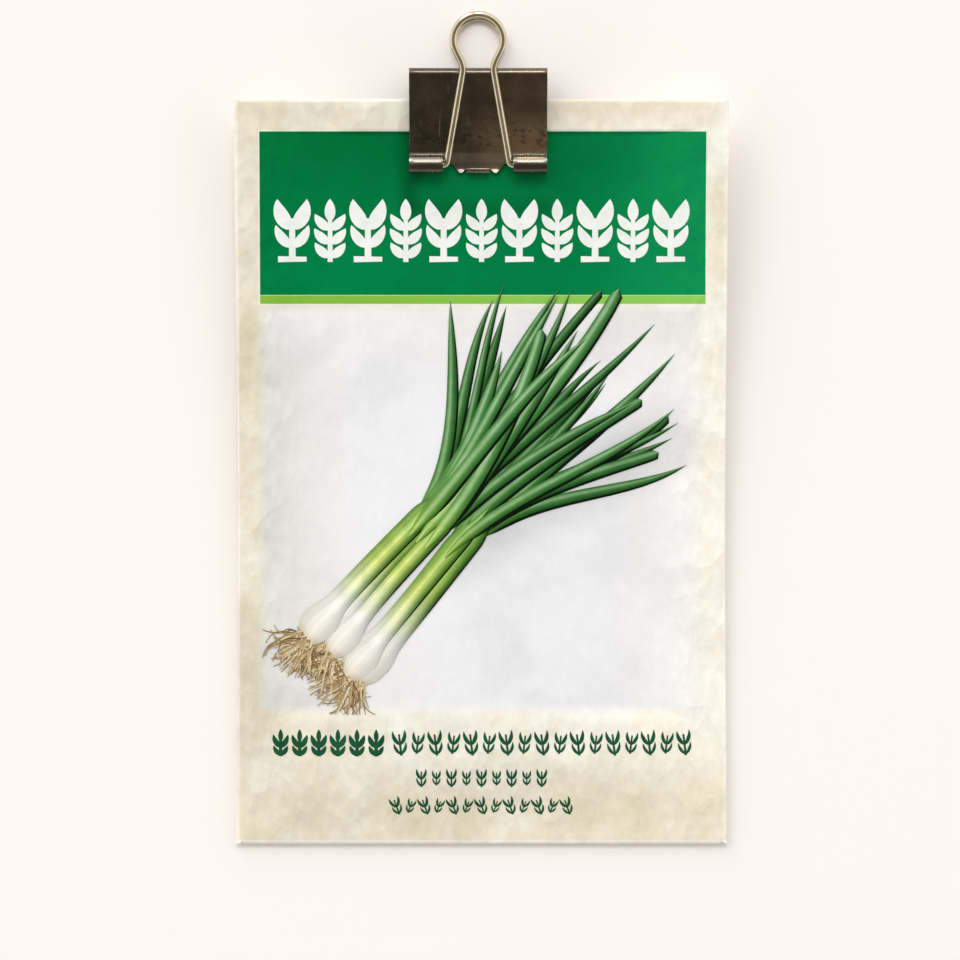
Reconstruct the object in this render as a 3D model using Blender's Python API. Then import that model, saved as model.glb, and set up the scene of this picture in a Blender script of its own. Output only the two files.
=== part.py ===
"""A paper seed packet, folded and glued from one sheet, with a bed of seeds inside it and a
steel binder clip over its closed top.

It lies on its back. The foot of the packet is flat on the surface, and the rear handle of the
clip props the other end up, so the paper bends gently upwards towards the clip.

Axes: +X across the packet, +Y from its foot to the clip, +Z up out of the printed face. The
origin is under the middle of the whole object, on the surface that it lies on.
"""

import math
import random

import bmesh
import bpy
from mathutils import Vector

MM = 0.001

# Packet: its outer size, its sheet, and how far the sides draw in where it swells
PACKET_WIDTH = 90 * MM
PACKET_HEIGHT = 136 * MM
PAPER = 0.2 * MM
WAIST = 0.4 * MM
WAIST_AT = 62 * MM
WAIST_REACH = 74 * MM

# Gaps between the layers of paper, from the back to the front
GLUED_GAP = 0.2 * MM
POCKET_GAP = 0.15 * MM

# Flaps of the sheet
SIDE_FLAP = 12 * MM
BOTTOM_FLAP = 18 * MM
TOP_FLAP = 20 * MM
FLAP_TAPER = 4 * MM
CORNER = 2 * MM
BACK_EDGE = 1.2 * MM
CUT_END = 0.9 * MM

# Swelling of the front over the seeds
SWELL = 2.4 * MM
SWELL_FULL_FROM = 16 * MM
SWELL_FULL_TO = 36 * MM
SWELL_ENDS = 112 * MM

# Films of glue, and where they start and end above the foot
GLUE = 0.1 * MM
SEAM_GLUED = (6 * MM, 112 * MM)
FOOT_GLUED = (8 * MM, 16 * MM)
FOOT_GLUE_HALF = 34 * MM

# Bed of seeds
SEED_RADII = (1.55 * MM, 1.2 * MM, 0.85 * MM)
SEED_PITCH = 3.1 * MM
BED_RADII = (25 * MM, 12 * MM)
BED_AT = 26 * MM
BED_CORE = 0.5 * MM
SEED_DRAW = 11

# Clip: a spring of one bent sheet
CLIP_WIDTH = 25 * MM
CLIP_LENGTH = 19 * MM
CLIP_X = -0.6 * MM
CLIP_REACH = 13.4 * MM
SPINE_HEIGHT = 9.5 * MM
STEEL = 0.35 * MM
SPINE_BEND = 0.9 * MM
SIDE_ANGLE = math.radians(15.5)
MOUTH_ANGLE = math.radians(10)
JAW_GAP = 0.1 * MM

# Rolled eyes at the jaws, and the tongue between them
EYE_RADIUS = 1.55 * MM
EYE_TURN = math.radians(288)
EYE_END = 6.4 * MM
TONGUE_EDGE = 4.8 * MM
HEM_EDGE = 2.1 * MM
HEM_RADIUS = 0.7 * MM
HEM_TURN = math.radians(205)
HEM_SIDE = 4.1 * MM
LOBE_TIP = 3.2 * MM
LOBE_HALF = 0.35 * MM
LOBE_FLARE = 0.6 * MM
LOBE_Y = 0.05 * MM

# Wire handles
WIRE = 1.3 * MM
WIRE_STARTS = 11.7 * MM
LEG_X = 5.6 * MM
LEG_BEND = 0.8 * MM
NECK_X = 2.8 * MM
NECK_AT = 17 * MM
LOOP_X = 4.5 * MM
LOOP_AT = 22.8 * MM
HANDLE_LENGTH = 27.4 * MM
HANDLE_GAP = 0.1 * MM

# Slope of the packet where the clip holds it
CLIP_SLOPE = math.radians(5.5)

# Layers of the packet, as heights of their middles above the outside of the back
N_FLAP = PAPER / 2
N_BACK = N_FLAP + PAPER + GLUED_GAP
N_SIDE = N_BACK + PAPER + GLUED_GAP
N_FRONT = N_SIDE + PAPER + POCKET_GAP
THICKNESS = N_FRONT + PAPER / 2
MID = THICKNESS / 2

# Places in the clip's own frame: Y from the mouth to the spine, Z out of the front of the packet
MOUTH = MID + JAW_GAP
EYE_Y = EYE_RADIUS
EYE_Z = MOUTH + EYE_RADIUS
CORNER_Y = CLIP_LENGTH - STEEL / 2 - SPINE_BEND
CORNER_Z = SPINE_HEIGHT / 2 - STEEL / 2 - SPINE_BEND

# The handles rest against the corners of the spine
TO_CORNER = Vector((CORNER_Y - EYE_Y, CORNER_Z - EYE_Z))
CLEAR_OF_CORNER = SPINE_BEND + STEEL / 2 + WIRE / 2 + HANDLE_GAP
HANDLE_ANGLE = math.atan2(TO_CORNER.y, TO_CORNER.x) + math.asin(CLEAR_OF_CORNER / TO_CORNER.length)
TIP_Y = EYE_Y + HANDLE_LENGTH * math.cos(HANDLE_ANGLE)
TIP_Z = EYE_Z + HANDLE_LENGTH * math.sin(HANDLE_ANGLE)

# Rest: the tip of the rear handle touches the surface, which sets how far the packet is lifted
GRIP_AT = PACKET_HEIGHT - CLIP_REACH
GRIP_LIFT = WIRE / 2 + TIP_Z * math.cos(CLIP_SLOPE) - TIP_Y * math.sin(CLIP_SLOPE) - MID
BEND_AT = GRIP_AT - 2 * GRIP_LIFT / math.tan(CLIP_SLOPE)
OVERALL = GRIP_AT + TIP_Y * math.cos(CLIP_SLOPE) + TIP_Z * math.sin(CLIP_SLOPE) + WIRE / 2
FOOT_Y = -OVERALL / 2


def smoothstep(t):
    """0 below 0, 1 above 1, and a smooth rise between."""
    t = min(1.0, max(0.0, t))
    return t * t * (3 - 2 * t)


def lift(v):
    """How far the middle of the packet is raised at a distance v from its foot, and its slope."""
    if v <= BEND_AT:
        return 0.0, 0.0
    rise = math.tan(CLIP_SLOPE)
    if v >= GRIP_AT:
        return GRIP_LIFT + (v - GRIP_AT) * rise, CLIP_SLOPE
    share = (v - BEND_AT) / (GRIP_AT - BEND_AT)
    return GRIP_LIFT * share * share, math.atan(rise * share)


def bent(x, v, n):
    """The place of a point of the packet: across it, along it, and above the outside of its back."""
    raised, slope = lift(v)
    out = n - MID
    return Vector((x, FOOT_Y + v - out * math.sin(slope), MID + raised + out * math.cos(slope)))


def half_width(v):
    """Half the packet's width at v. The sides draw in where the packet swells."""
    share = min(1.0, abs(v - WAIST_AT) / WAIST_REACH)
    return PACKET_WIDTH / 2 - WAIST * (1 - smoothstep(share))


def swell(x, v):
    """How far the front stands up over the seeds."""
    across = 1 - min(1.0, abs(x) / half_width(v)) ** 4
    falls = (v - SWELL_FULL_TO) / (SWELL_ENDS - SWELL_FULL_TO)
    return SWELL * across * smoothstep(v / SWELL_FULL_FROM) * (1 - smoothstep(falls))


def arc(centre, radius, start, turn, steps):
    """Points of an arc in a plane, both ends included."""
    angles = [start + turn * i / steps for i in range(steps + 1)]
    return [(centre[0] + radius * math.cos(a), centre[1] + radius * math.sin(a)) for a in angles]


def hermite(start, start_way, end, end_way, steps):
    """Points of a smooth curve between two points, leaving and arriving along two unit directions."""
    reach = math.dist(start, end)
    points = []
    for i in range(steps + 1):
        t = i / steps
        blend = 3 * t**2 - 2 * t**3
        leave, arrive = reach * (t**3 - 2 * t**2 + t), reach * (t**3 - t**2)
        point = []
        for k in (0, 1):
            between = start[k] + (end[k] - start[k]) * blend
            point.append(between + leave * start_way[k] + arrive * end_way[k])
        points.append(tuple(point))
    return points


def material(name, colour, roughness, metallic=0.0):
    """A plain finish of one colour."""
    made = bpy.data.materials.new(name)
    made.use_nodes = True
    shader = made.node_tree.nodes["Principled BSDF"]
    shader.inputs["Base Color"].default_value = (*colour, 1)
    shader.inputs["Roughness"].default_value = roughness
    shader.inputs["Metallic"].default_value = metallic
    return made


def add_object(name, data, finish, parent=None):
    """A new object with its finish, in the scene."""
    made = bpy.data.objects.new(name, data)
    bpy.context.scene.collection.objects.link(made)
    data.materials.append(finish)
    made.parent = parent
    return made


def add_empty(name, location, rotation, parent=None):
    """An empty that carries other objects."""
    made = bpy.data.objects.new(name, None)
    bpy.context.scene.collection.objects.link(made)
    made.location = location
    made.rotation_euler = rotation
    made.parent = parent
    return made


def add_sheet(name, mesh, thickness, finish, parent=None):
    """A sheet of even thickness about the faces of a mesh."""
    made = add_object(name, mesh, finish, parent)
    wall = made.modifiers.new("wall", "SOLIDIFY")
    wall.thickness = thickness
    wall.offset = 0
    wall.use_even_offset = True
    return made


def add_faces(mesh, rows):
    """The quads between neighbouring rows of vertices."""
    for lower, upper in zip(rows, rows[1:]):
        for i in range(len(lower) - 1):
            mesh.faces.new((lower[i], lower[i + 1], upper[i + 1], upper[i]))


def finished_mesh(name, mesh, smooth_below=math.radians(30)):
    """The mesh as data, shaded smooth except over sharp edges."""
    data = bpy.data.meshes.new(name)
    mesh.to_mesh(data)
    mesh.free()
    data.shade_smooth()
    data.set_sharp_from_angle(angle=smooth_below)
    return data


def girth(v):
    """The sheet's outline round the packet at v, as (part, x, n): side flap, front and back."""
    half = half_width(v)
    right = (N_FRONT - N_SIDE) / 2
    left = (N_FRONT - N_BACK) / 2
    right_x = half - right - PAPER / 2
    left_x = -half + left + PAPER / 2
    points = [("side", half - SIDE_FLAP, N_SIDE), ("side", half - SIDE_FLAP / 2, N_SIDE)]
    points += [("fold", x, n) for x, n in arc((right_x, N_SIDE + right), right, -math.pi / 2, math.pi, 4)]
    inner = right_x - CORNER
    across = [inner * (1 - 2 * i / 12) for i in range(13)]
    points += [("front", x, N_FRONT + swell(x, v)) for x in across]
    points += [("fold", x, n) for x, n in arc((left_x, N_BACK + left), left, math.pi / 2, math.pi, 4)]
    stop = half - BACK_EDGE
    points += [("back", left_x + (stop - left_x) * i / 4, N_BACK) for i in range(1, 5)]
    return points


def cut_end(part, from_end):
    """How far from the packet's end a column of the sheet is cut."""
    return {"front": MID, "fold": CUT_END / 4, "side": CUT_END, "back": CUT_END}[part] + from_end


def paper_envelope(finish):
    """One sheet: side flap, front and back in a ring, with a flap over the back at each end."""
    mesh = bmesh.new()
    stations = [4, 8, 12, 17, 24, 34, 46, 58, 70, 82, 94, 105, 115, 122, 129]
    rows = []
    parts = [part for part, _, _ in girth(0)]
    for v in [0.0, *[s * MM for s in stations], PACKET_HEIGHT]:
        row = []
        for part, x, n in girth(v):
            at = v
            if v == 0.0:
                at = cut_end(part, 0.0)
            if v == PACKET_HEIGHT:
                at = PACKET_HEIGHT - cut_end(part, 0.0)
            row.append(mesh.verts.new(bent(x, at, n)))
        rows.append(row)
    add_faces(mesh, rows)
    fronts = [i for i, part in enumerate(parts) if part == "front"]
    for row, end, way, depth in ((rows[0], 0.0, 1, BOTTOM_FLAP), (rows[-1], PACKET_HEIGHT, -1, TOP_FLAP)):
        flap = [[row[i] for i in fronts]]
        turn = (N_FRONT - N_FLAP) / 2
        xs = [row[i].co.x for i in fronts]
        widest = max(xs)
        for out, n in arc((MID, N_FLAP + turn), turn, math.pi / 2, math.pi, 6)[1:]:
            flap.append([mesh.verts.new(bent(x, end + way * out, n)) for x in xs])
        for share in (0.5, 1.0):
            v = end + way * (MID + share * (depth - MID))
            narrow = 1 - share * FLAP_TAPER / widest
            flap.append([mesh.verts.new(bent(x * narrow, v, N_FLAP)) for x in xs])
        add_faces(mesh, flap if way == -1 else flap[::-1])
    bmesh.ops.recalc_face_normals(mesh, faces=mesh.faces)
    return add_sheet("paper_envelope", finished_mesh("paper_envelope", mesh), PAPER, finish)


def seam_edges(v):
    """The left and right edges of the side seam's glue at v."""
    return half_width(v) - SIDE_FLAP + 2 * MM, half_width(v) - 3 * MM


def foot_edges(v):
    """The left and right edges of the foot flap's glue."""
    return -FOOT_GLUE_HALF, FOOT_GLUE_HALF


def glue_film(name, edges, reach, n, finish, steps):
    """A film of glue between two layers, over a reach of v. edges gives its sides at v."""
    mesh = bmesh.new()
    rows = []
    for i in range(steps + 1):
        v = reach[0] + (reach[1] - reach[0]) * i / steps
        rows.append([mesh.verts.new(bent(x, v, n)) for x in edges(v)])
    add_faces(mesh, rows)
    return add_sheet(name, finished_mesh(name, mesh), GLUE, finish)


def seed_mesh(draw):
    """One seed: an angular grain with a flat side, as six corners."""
    mesh = bmesh.new()
    around = [(1, 0.15, 0), (-0.35, 1, 0), (-0.75, -0.8, 0), (0.35, -0.9, -0.3)]
    poles = [(-0.1, 0.1, 1), (0.05, -0.05, -1)]
    for corner in around + poles:
        size = draw.uniform(0.9, 1.08)
        mesh.verts.new([c * r * size for c, r in zip(corner, SEED_RADII)])
    bmesh.ops.convex_hull(mesh, input=mesh.verts)
    data = bpy.data.meshes.new("seed")
    mesh.to_mesh(data)
    mesh.free()
    return data


def bed_places():
    """Where the seeds lie: a staggered grid inside an oval."""
    places = []
    lines = int(BED_RADII[1] / (SEED_PITCH * 0.87))
    for line in range(-lines, lines + 1):
        shift = SEED_PITCH / 2 if line % 2 else 0.0
        for k in range(-12, 13):
            x, v = k * SEED_PITCH + shift, line * SEED_PITCH * 0.87
            if math.hypot(x / BED_RADII[0], v / BED_RADII[1]) < 1:
                places.append((x, BED_AT + v))
    return places


def seeds(finish):
    """The seeds, lying close together on the back of the packet as one bed on a thin core."""
    draw = random.Random(SEED_DRAW)
    floor = N_BACK + PAPER / 2 + POCKET_GAP
    middle = floor + SEED_RADII[2] * 1.08
    grains = bpy.data.collections.new("grains")
    bpy.context.scene.collection.children.link(grains)
    for x, v in bed_places():
        grain = bpy.data.objects.new("grain", seed_mesh(draw))
        shift = Vector((draw.uniform(-0.2, 0.2), draw.uniform(-0.2, 0.2))) * MM
        grain.location = bent(x + shift.x, v + shift.y, middle)
        grain.rotation_euler = (draw.choice((0, math.pi)), 0, draw.uniform(0, math.tau))
        grains.objects.link(grain)
    mesh = bmesh.new()
    bmesh.ops.create_circle(mesh, segments=28, radius=1, cap_ends=True)
    lower = [v for v in mesh.verts]
    made = bmesh.ops.extrude_face_region(mesh, geom=mesh.faces[:])
    upper = [g for g in made["geom"] if isinstance(g, bmesh.types.BMVert)]
    for verts, n in ((lower, middle - BED_CORE / 2), (upper, middle + BED_CORE / 2)):
        for vert in verts:
            x, v = vert.co.x * BED_RADII[0] * 0.96, BED_AT + vert.co.y * BED_RADII[1] * 0.94
            vert.co = bent(x, v, n)
    bmesh.ops.recalc_face_normals(mesh, faces=mesh.faces)
    bed = add_object("seeds", finished_mesh("seeds", mesh), finish)
    join = bed.modifiers.new("join", "BOOLEAN")
    join.operation = "UNION"
    join.operand_type = "COLLECTION"
    join.collection = grains
    join.solver = "MANIFOLD"
    graph = bpy.context.evaluated_depsgraph_get()
    joined = bpy.data.meshes.new_from_object(bed.evaluated_get(graph))
    bed.modifiers.remove(join)
    bed.data = joined
    for grain in list(grains.objects):
        bpy.data.objects.remove(grain)
    bpy.data.collections.remove(grains)
    return bed


def side_profile():
    """The sheet of the clip from the middle of its spine to one eye, as (y, z) points."""
    points = [(CLIP_LENGTH - STEEL / 2, 0.0), (CLIP_LENGTH - STEEL / 2, CORNER_Z / 2)]
    points += arc((CORNER_Y, CORNER_Z), SPINE_BEND, 0, math.pi / 2 + SIDE_ANGLE, 6)
    roll = EYE_RADIUS - STEEL / 2
    start = points[-1]
    end = (EYE_Y + roll * math.sin(MOUTH_ANGLE), EYE_Z - roll * math.cos(MOUTH_ANGLE))
    away = (-math.cos(SIDE_ANGLE), -math.sin(SIDE_ANGLE))
    into = (-math.cos(MOUTH_ANGLE), -math.sin(MOUTH_ANGLE))
    return points + hermite(start, away, end, into, 7)[1:]


def roll_profile(radius, turn, angle, steps):
    """A roll of the sheet outwards from the paper, that starts at an angle to it."""
    middle = radius - STEEL / 2
    return arc((radius, MOUTH + radius), middle, -math.pi / 2 + angle, -turn, steps)


def clip_spring(finish, parent):
    """The spring of the clip: a bent sheet with two rolled eyes and a hemmed tongue at each jaw."""
    mesh = bmesh.new()
    right = [HEM_EDGE, TONGUE_EDGE, EYE_END, (CLIP_WIDTH / 2 + EYE_END) / 2, CLIP_WIDTH / 2]
    xs = [-x for x in reversed(right)] + [0.0] + right
    profile = side_profile()
    spine_row = [mesh.verts.new((x, *profile[0])) for x in xs]
    for side in (1, -1):
        rows = [spine_row]
        for y, z in profile[1:]:
            rows.append([mesh.verts.new((x, y, side * z)) for x in xs])
        add_faces(mesh, rows)
        jaw = rows[-1]
        roll = roll_profile(EYE_RADIUS, EYE_TURN, MOUTH_ANGLE, 18)[1:]
        for columns in ((0, 1, 2), (8, 9, 10)):
            strip = [[jaw[c] for c in columns]]
            strip += [[mesh.verts.new((xs[c], y, side * z)) for c in columns] for y, z in roll]
            add_faces(mesh, strip)
        hem = roll_profile(HEM_RADIUS, HEM_TURN, MOUTH_ANGLE / 2, 9)
        y, z = hem[0]
        tongue_xs = (-HEM_SIDE, -HEM_EDGE, 0.0, HEM_EDGE, HEM_SIDE)
        tongue = [mesh.verts.new((x, y, side * z)) for x in tongue_xs]
        add_faces(mesh, [[jaw[c] for c in (3, 4, 5, 6, 7)], tongue])
        strip = [tongue[1:4]]
        strip += [[mesh.verts.new((x, y, side * z)) for x in tongue_xs[1:4]] for y, z in hem[1:]]
        add_faces(mesh, strip)
        for way, inner, outer in ((-1, tongue[1], tongue[0]), (1, tongue[3], tongue[4])):
            tip_z = side * (MOUTH + LOBE_FLARE)
            tip_xs = (way * (LOBE_TIP + LOBE_HALF), way * (LOBE_TIP - LOBE_HALF))
            mesh.faces.new((inner, outer, *(mesh.verts.new((x, LOBE_Y, tip_z)) for x in tip_xs)))
    bmesh.ops.recalc_face_normals(mesh, faces=mesh.faces)
    data = finished_mesh("clip_spring", mesh, math.radians(40))
    return add_sheet("clip_spring", data, STEEL, finish, parent)


def handle_path():
    """The right half of a handle's wire, from its end in the eye to the top of its loop, as (x, h)."""
    lean = math.atan2(LEG_X - NECK_X, NECK_AT - LEG_BEND)
    points = [(WIRE_STARTS, 0.0), ((WIRE_STARTS + LEG_X) / 2, 0.0)]
    points += arc((LEG_X + LEG_BEND, LEG_BEND), LEG_BEND, -math.pi / 2, -math.pi / 2 + lean, 5)
    for share in (0.25, 0.5, 0.75):
        points.append((LEG_X + (NECK_X - LEG_X) * share, LEG_BEND + (NECK_AT - LEG_BEND) * share))
    up = (-math.sin(lean), math.cos(lean))
    points += hermite((NECK_X, NECK_AT), up, (LOOP_X, LOOP_AT), (0.0, 1.0), 8)
    over = HANDLE_LENGTH - LOOP_AT
    for i in range(1, 8):
        angle = math.pi / 2 * i / 7
        points.append((LOOP_X * math.cos(angle), LOOP_AT + over * math.sin(angle)))
    return points


def clip_handle(name, finish, pivot):
    """A handle: one bent wire, from one eye round the loop to the other."""
    curve = bpy.data.curves.new(name, "CURVE")
    curve.dimensions = "3D"
    curve.bevel_depth = WIRE / 2
    curve.bevel_resolution = 3
    curve.use_fill_caps = True
    half = handle_path()
    points = half + [(-x, h) for x, h in half[-2::-1]]
    spline = curve.splines.new("POLY")
    spline.points.add(len(points) - 1)
    for point, (x, h) in zip(spline.points, points):
        point.co = (x, h, 0.0, 1.0)
    spline.use_smooth = True
    return add_object(name, curve, finish, pivot)


def main():
    for obj in list(bpy.data.objects):
        bpy.data.objects.remove(obj)
    paper = material("cream_paper", (0.82, 0.76, 0.62), 0.75)
    glue = material("dry_glue", (0.85, 0.8, 0.66), 0.4)
    grain = material("seed_coat", (0.02, 0.02, 0.022), 0.6)
    spring = material("dark_nickel", (0.12, 0.1, 0.08), 0.35, 0.9)
    wire = material("bright_nickel", (0.62, 0.58, 0.5), 0.25, 1.0)

    paper_envelope(paper)
    glue_film("glue_side_seam", seam_edges, SEAM_GLUED, (N_BACK + N_SIDE) / 2, glue, 10)
    glue_film("glue_bottom_flap", foot_edges, FOOT_GLUED, (N_FLAP + N_BACK) / 2, glue, 2)
    seeds(grain)

    clip = add_empty("clip_frame", (CLIP_X, *bent(0, GRIP_AT, MID)[1:]), (CLIP_SLOPE, 0, 0))
    clip_spring(spring, clip)
    for name, side in (("front", 1), ("rear", -1)):
        pivot = add_empty(f"{name}_pivot", (0, EYE_Y, side * EYE_Z), (side * HANDLE_ANGLE, 0, 0), clip)
        clip_handle(f"clip_handle_{name}", wire, pivot)


main()
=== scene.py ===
# %% [markdown]
# # A paper seed packet held shut by a binder clip
# The packet is one sheet of paper, folded and glued round a bed of seeds and closed by a steel clip.
# This lesson dresses its measured frame: first the paper and its print, then the steel, then the light.

import math
import random

import bmesh
import bpy
from mathutils import Matrix, Vector, noise


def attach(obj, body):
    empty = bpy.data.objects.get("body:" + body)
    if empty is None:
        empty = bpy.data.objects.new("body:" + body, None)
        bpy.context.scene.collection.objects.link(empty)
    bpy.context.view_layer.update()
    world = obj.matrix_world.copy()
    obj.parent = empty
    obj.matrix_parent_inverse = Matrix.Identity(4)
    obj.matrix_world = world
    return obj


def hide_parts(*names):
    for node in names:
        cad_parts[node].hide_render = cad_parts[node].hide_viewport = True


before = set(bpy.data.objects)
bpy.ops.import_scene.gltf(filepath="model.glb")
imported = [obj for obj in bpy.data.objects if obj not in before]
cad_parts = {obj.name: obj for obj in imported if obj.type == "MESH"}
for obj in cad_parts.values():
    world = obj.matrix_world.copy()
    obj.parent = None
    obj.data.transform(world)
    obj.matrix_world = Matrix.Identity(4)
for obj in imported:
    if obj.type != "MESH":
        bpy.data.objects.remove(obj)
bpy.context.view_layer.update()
MM = 0.001
print("pieces of the frame:", ", ".join(sorted(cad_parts)))

# %% [markdown]
# Every piece here ends the same way: a mesh whose object sits at the origin, a finish, the body that
# it moves with, and the plain solid that it stands for. A few short helpers do that for all of them.


# %% Helpers that make meshes and finish a piece
def in_scene(name, data):
    """A new object, linked to the scene."""
    made = bpy.data.objects.new(name, data)
    bpy.context.scene.collection.objects.link(made)
    return made


def finish_piece(name, data, finishes, body, stands_for=()):
    """Puts a mesh in the scene as a piece that moves with a body."""
    piece = in_scene(name, data)
    data.name = name
    if list(data.materials) != list(finishes):
        data.materials.clear()
        for one in finishes:
            data.materials.append(one)
    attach(piece, body)
    if stands_for:
        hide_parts(*stands_for)
    return piece


def smoothed(data, angle):
    """Shades a mesh smooth, and keeps the edges over this angle sharp."""
    data.shade_smooth()
    data.set_sharp_from_angle(angle=math.radians(angle))
    return data


def mesh_of(name, verts, faces, maps, angle):
    """A smooth mesh. maps holds a point attribute or a UV place for each vertex."""
    data = bpy.data.meshes.new(name)
    data.from_pydata([tuple(v) for v in verts], [], faces)
    for label, values in maps.items():
        if isinstance(values[0], tuple):
            layer = data.uv_layers.new(name=label)
            for loop in data.loops:
                layer.data[loop.index].uv = values[loop.vertex_index]
        else:
            data.attributes.new(label, "FLOAT", "POINT").data.foreach_set("value", values)
    return smoothed(data, angle)


def baked(holder):
    """The plain mesh of an object after its modifiers. The object itself goes."""
    graph = bpy.context.evaluated_depsgraph_get()
    made = bpy.data.meshes.new_from_object(holder.evaluated_get(graph))
    bpy.data.objects.remove(holder)
    return made


def with_modifiers(data, settings, angle):
    """A mesh after a stack of modifiers, given as kinds and their values."""
    holder = in_scene("holder", data)
    for kind, values in settings:
        added = holder.modifiers.new(kind, kind)
        for name, value in values.items():
            setattr(added, name, value)
    made = baked(holder)
    bpy.data.meshes.remove(data)
    return smoothed(made, angle)


def grid_faces(rows, columns, start=0):
    """The quads of a grid of vertices, row by row."""
    corners = [start + r * columns + c for r in range(rows - 1) for c in range(columns - 1)]
    return [(a, a + 1, a + columns + 1, a + columns) for a in corners]


print("mesh helpers ready")

# %% [markdown]
# ## How the packet lies
# The foot of the packet is flat on the table, and the clip's rear handle props up the other end, so
# the paper bends gently upwards. A point of the packet is given by u across it, v along it and its
# height over the back. `lay` turns these into a place in the room, so the paper and the ink on it
# always bend together.

# %% The sizes of the packet and of the clip
WIDTH, HEIGHT, PAPER = 90 * MM, 136 * MM, 0.2 * MM
SIDE_FLAP, BOTTOM_FLAP, TOP_FLAP, FLAP_TAPER = 12 * MM, 18 * MM, 20 * MM, 4 * MM
LEVEL_FLAP, LEVEL_BACK, LEVEL_SIDE, LEVEL_FRONT = 0.1 * MM, 0.5 * MM, 0.9 * MM, 1.25 * MM
MIDDLE = (LEVEL_FRONT + PAPER / 2) / 2
WAIST, WAIST_AT, WAIST_REACH = 0.4 * MM, 62 * MM, 74 * MM
SWELL, SWELL_RISE, SWELL_FROM, SWELL_FALL = 2.4 * MM, 16 * MM, 36 * MM, 76 * MM
CLIP_X, CLIP_REACH, CLIP_WIDTH, CLIP_LENGTH = -0.6 * MM, 13.4 * MM, 25 * MM, 19 * MM
SPINE_HEIGHT, STEEL, SPINE_BEND = 9.5 * MM, 0.35 * MM, 0.9 * MM
EYE_RADIUS, WIRE, HANDLE_LENGTH = 1.55 * MM, 1.3 * MM, 27.4 * MM
CLIP_SLOPE = math.radians(5.5)
MOUTH = MIDDLE + 0.1 * MM
EYE_Y, EYE_Z = EYE_RADIUS, MOUTH + EYE_RADIUS
CORNER_Y = CLIP_LENGTH - STEEL / 2 - SPINE_BEND
CORNER_Z = SPINE_HEIGHT / 2 - STEEL / 2 - SPINE_BEND
TO_CORNER = Vector((CORNER_Y - EYE_Y, CORNER_Z - EYE_Z))
CLEARANCE = SPINE_BEND + STEEL / 2 + WIRE / 2 + 0.1 * MM
HANDLE_ANGLE = math.atan2(TO_CORNER.y, TO_CORNER.x) + math.asin(CLEARANCE / TO_CORNER.length)
TIP_Y = EYE_Y + HANDLE_LENGTH * math.cos(HANDLE_ANGLE)
TIP_Z = EYE_Z + HANDLE_LENGTH * math.sin(HANDLE_ANGLE)
GRIP_AT = HEIGHT - CLIP_REACH
GRIP_LIFT = WIRE / 2 + TIP_Z * math.cos(CLIP_SLOPE) - TIP_Y * math.sin(CLIP_SLOPE) - MIDDLE
BEND_AT = GRIP_AT - 2 * GRIP_LIFT / math.tan(CLIP_SLOPE)
REACH = GRIP_AT + TIP_Y * math.cos(CLIP_SLOPE) + TIP_Z * math.sin(CLIP_SLOPE) + WIRE / 2
FOOT_Y = -REACH / 2
print("the packet starts to rise", round(BEND_AT / MM, 1), "mm above its foot")


# %% The shape of the paper
def smoothstep(t):
    """0 below 0, 1 above 1, and a smooth rise between."""
    t = min(1.0, max(0.0, t))
    return t * t * (3 - 2 * t)


def lay(u, v, n):
    """The place in the room of a point of the packet."""
    share = min(1.0, max(0.0, (v - BEND_AT) / (GRIP_AT - BEND_AT)))
    slope = math.atan(math.tan(CLIP_SLOPE) * share)
    raised = GRIP_LIFT * share * share + max(0.0, v - GRIP_AT) * math.tan(CLIP_SLOPE)
    out = n - MIDDLE
    return Vector((u, FOOT_Y + v - out * math.sin(slope), MIDDLE + raised + out * math.cos(slope)))


def half_width(v):
    """Half the packet's width at v: it draws in where the packet swells."""
    share = min(1.0, abs(v - WAIST_AT) / WAIST_REACH)
    return WIDTH / 2 - WAIST * (1 - smoothstep(share))


def swell(u, v):
    """How far the front stands up over the seeds."""
    across = 1 - min(1.0, abs(u) / half_width(v)) ** 4
    return SWELL * across * smoothstep(v / SWELL_RISE) * (1 - smoothstep((v - SWELL_FROM) / SWELL_FALL))


def crumple(u, v):
    """How far handling has puckered the front: broad waves, and sharp small ridges near the edges."""
    to_side = half_width(v) - abs(u)
    to_end = min(v, HEIGHT - v)
    fade = smoothstep(to_side / (3 * MM)) * smoothstep(to_end / (4 * MM))
    jaw = max(abs(u - CLIP_X) / (15 * MM), (GRIP_AT + 6 * MM - v) / (9 * MM))
    fade *= smoothstep((jaw - 0.9) * 2)
    edge = 1 - smoothstep((min(to_side, to_end) - 5 * MM) / (5 * MM))
    broad = noise.noise(Vector((u * 48, v * 40, 2.0))) * 0.22
    ridge = (0.35 - abs(noise.noise(Vector((u * 190 + v * 60, v * 130, 7.0))))) * 0.2 * edge
    return (broad + ridge) * fade * MM


def front(u, v, out=0.0):
    """A place on the printed face, or a little above it."""
    return lay(u, v, LEVEL_FRONT + PAPER / 2 + swell(u, v) + crumple(u, v) + out)


top = front(0, SWELL_FROM)
print("over the seeds the front stands", round(top.z / MM, 1), "mm above the table")

# %% [markdown]
# ## Wiring the finishes
# A finish is a tree of nodes. A `Value` is one node's output, and a sum written with it, such as
# `1 - a * b`, adds the Math nodes for that sum. An input takes a Value or a plain number or colour.
# Colours are written as they look on screen and turned to linear.


# %% Values that sums can be written with
def seen(red, green, blue):
    """A colour given as it looks on screen, from 0 to 255, as the linear values that Blender mixes."""
    parts = [c / 255 for c in (red, green, blue)]
    return (*[c / 12.92 if c <= 0.04045 else ((c + 0.055) / 1.055) ** 2.4 for c in parts], 1.0)


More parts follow.
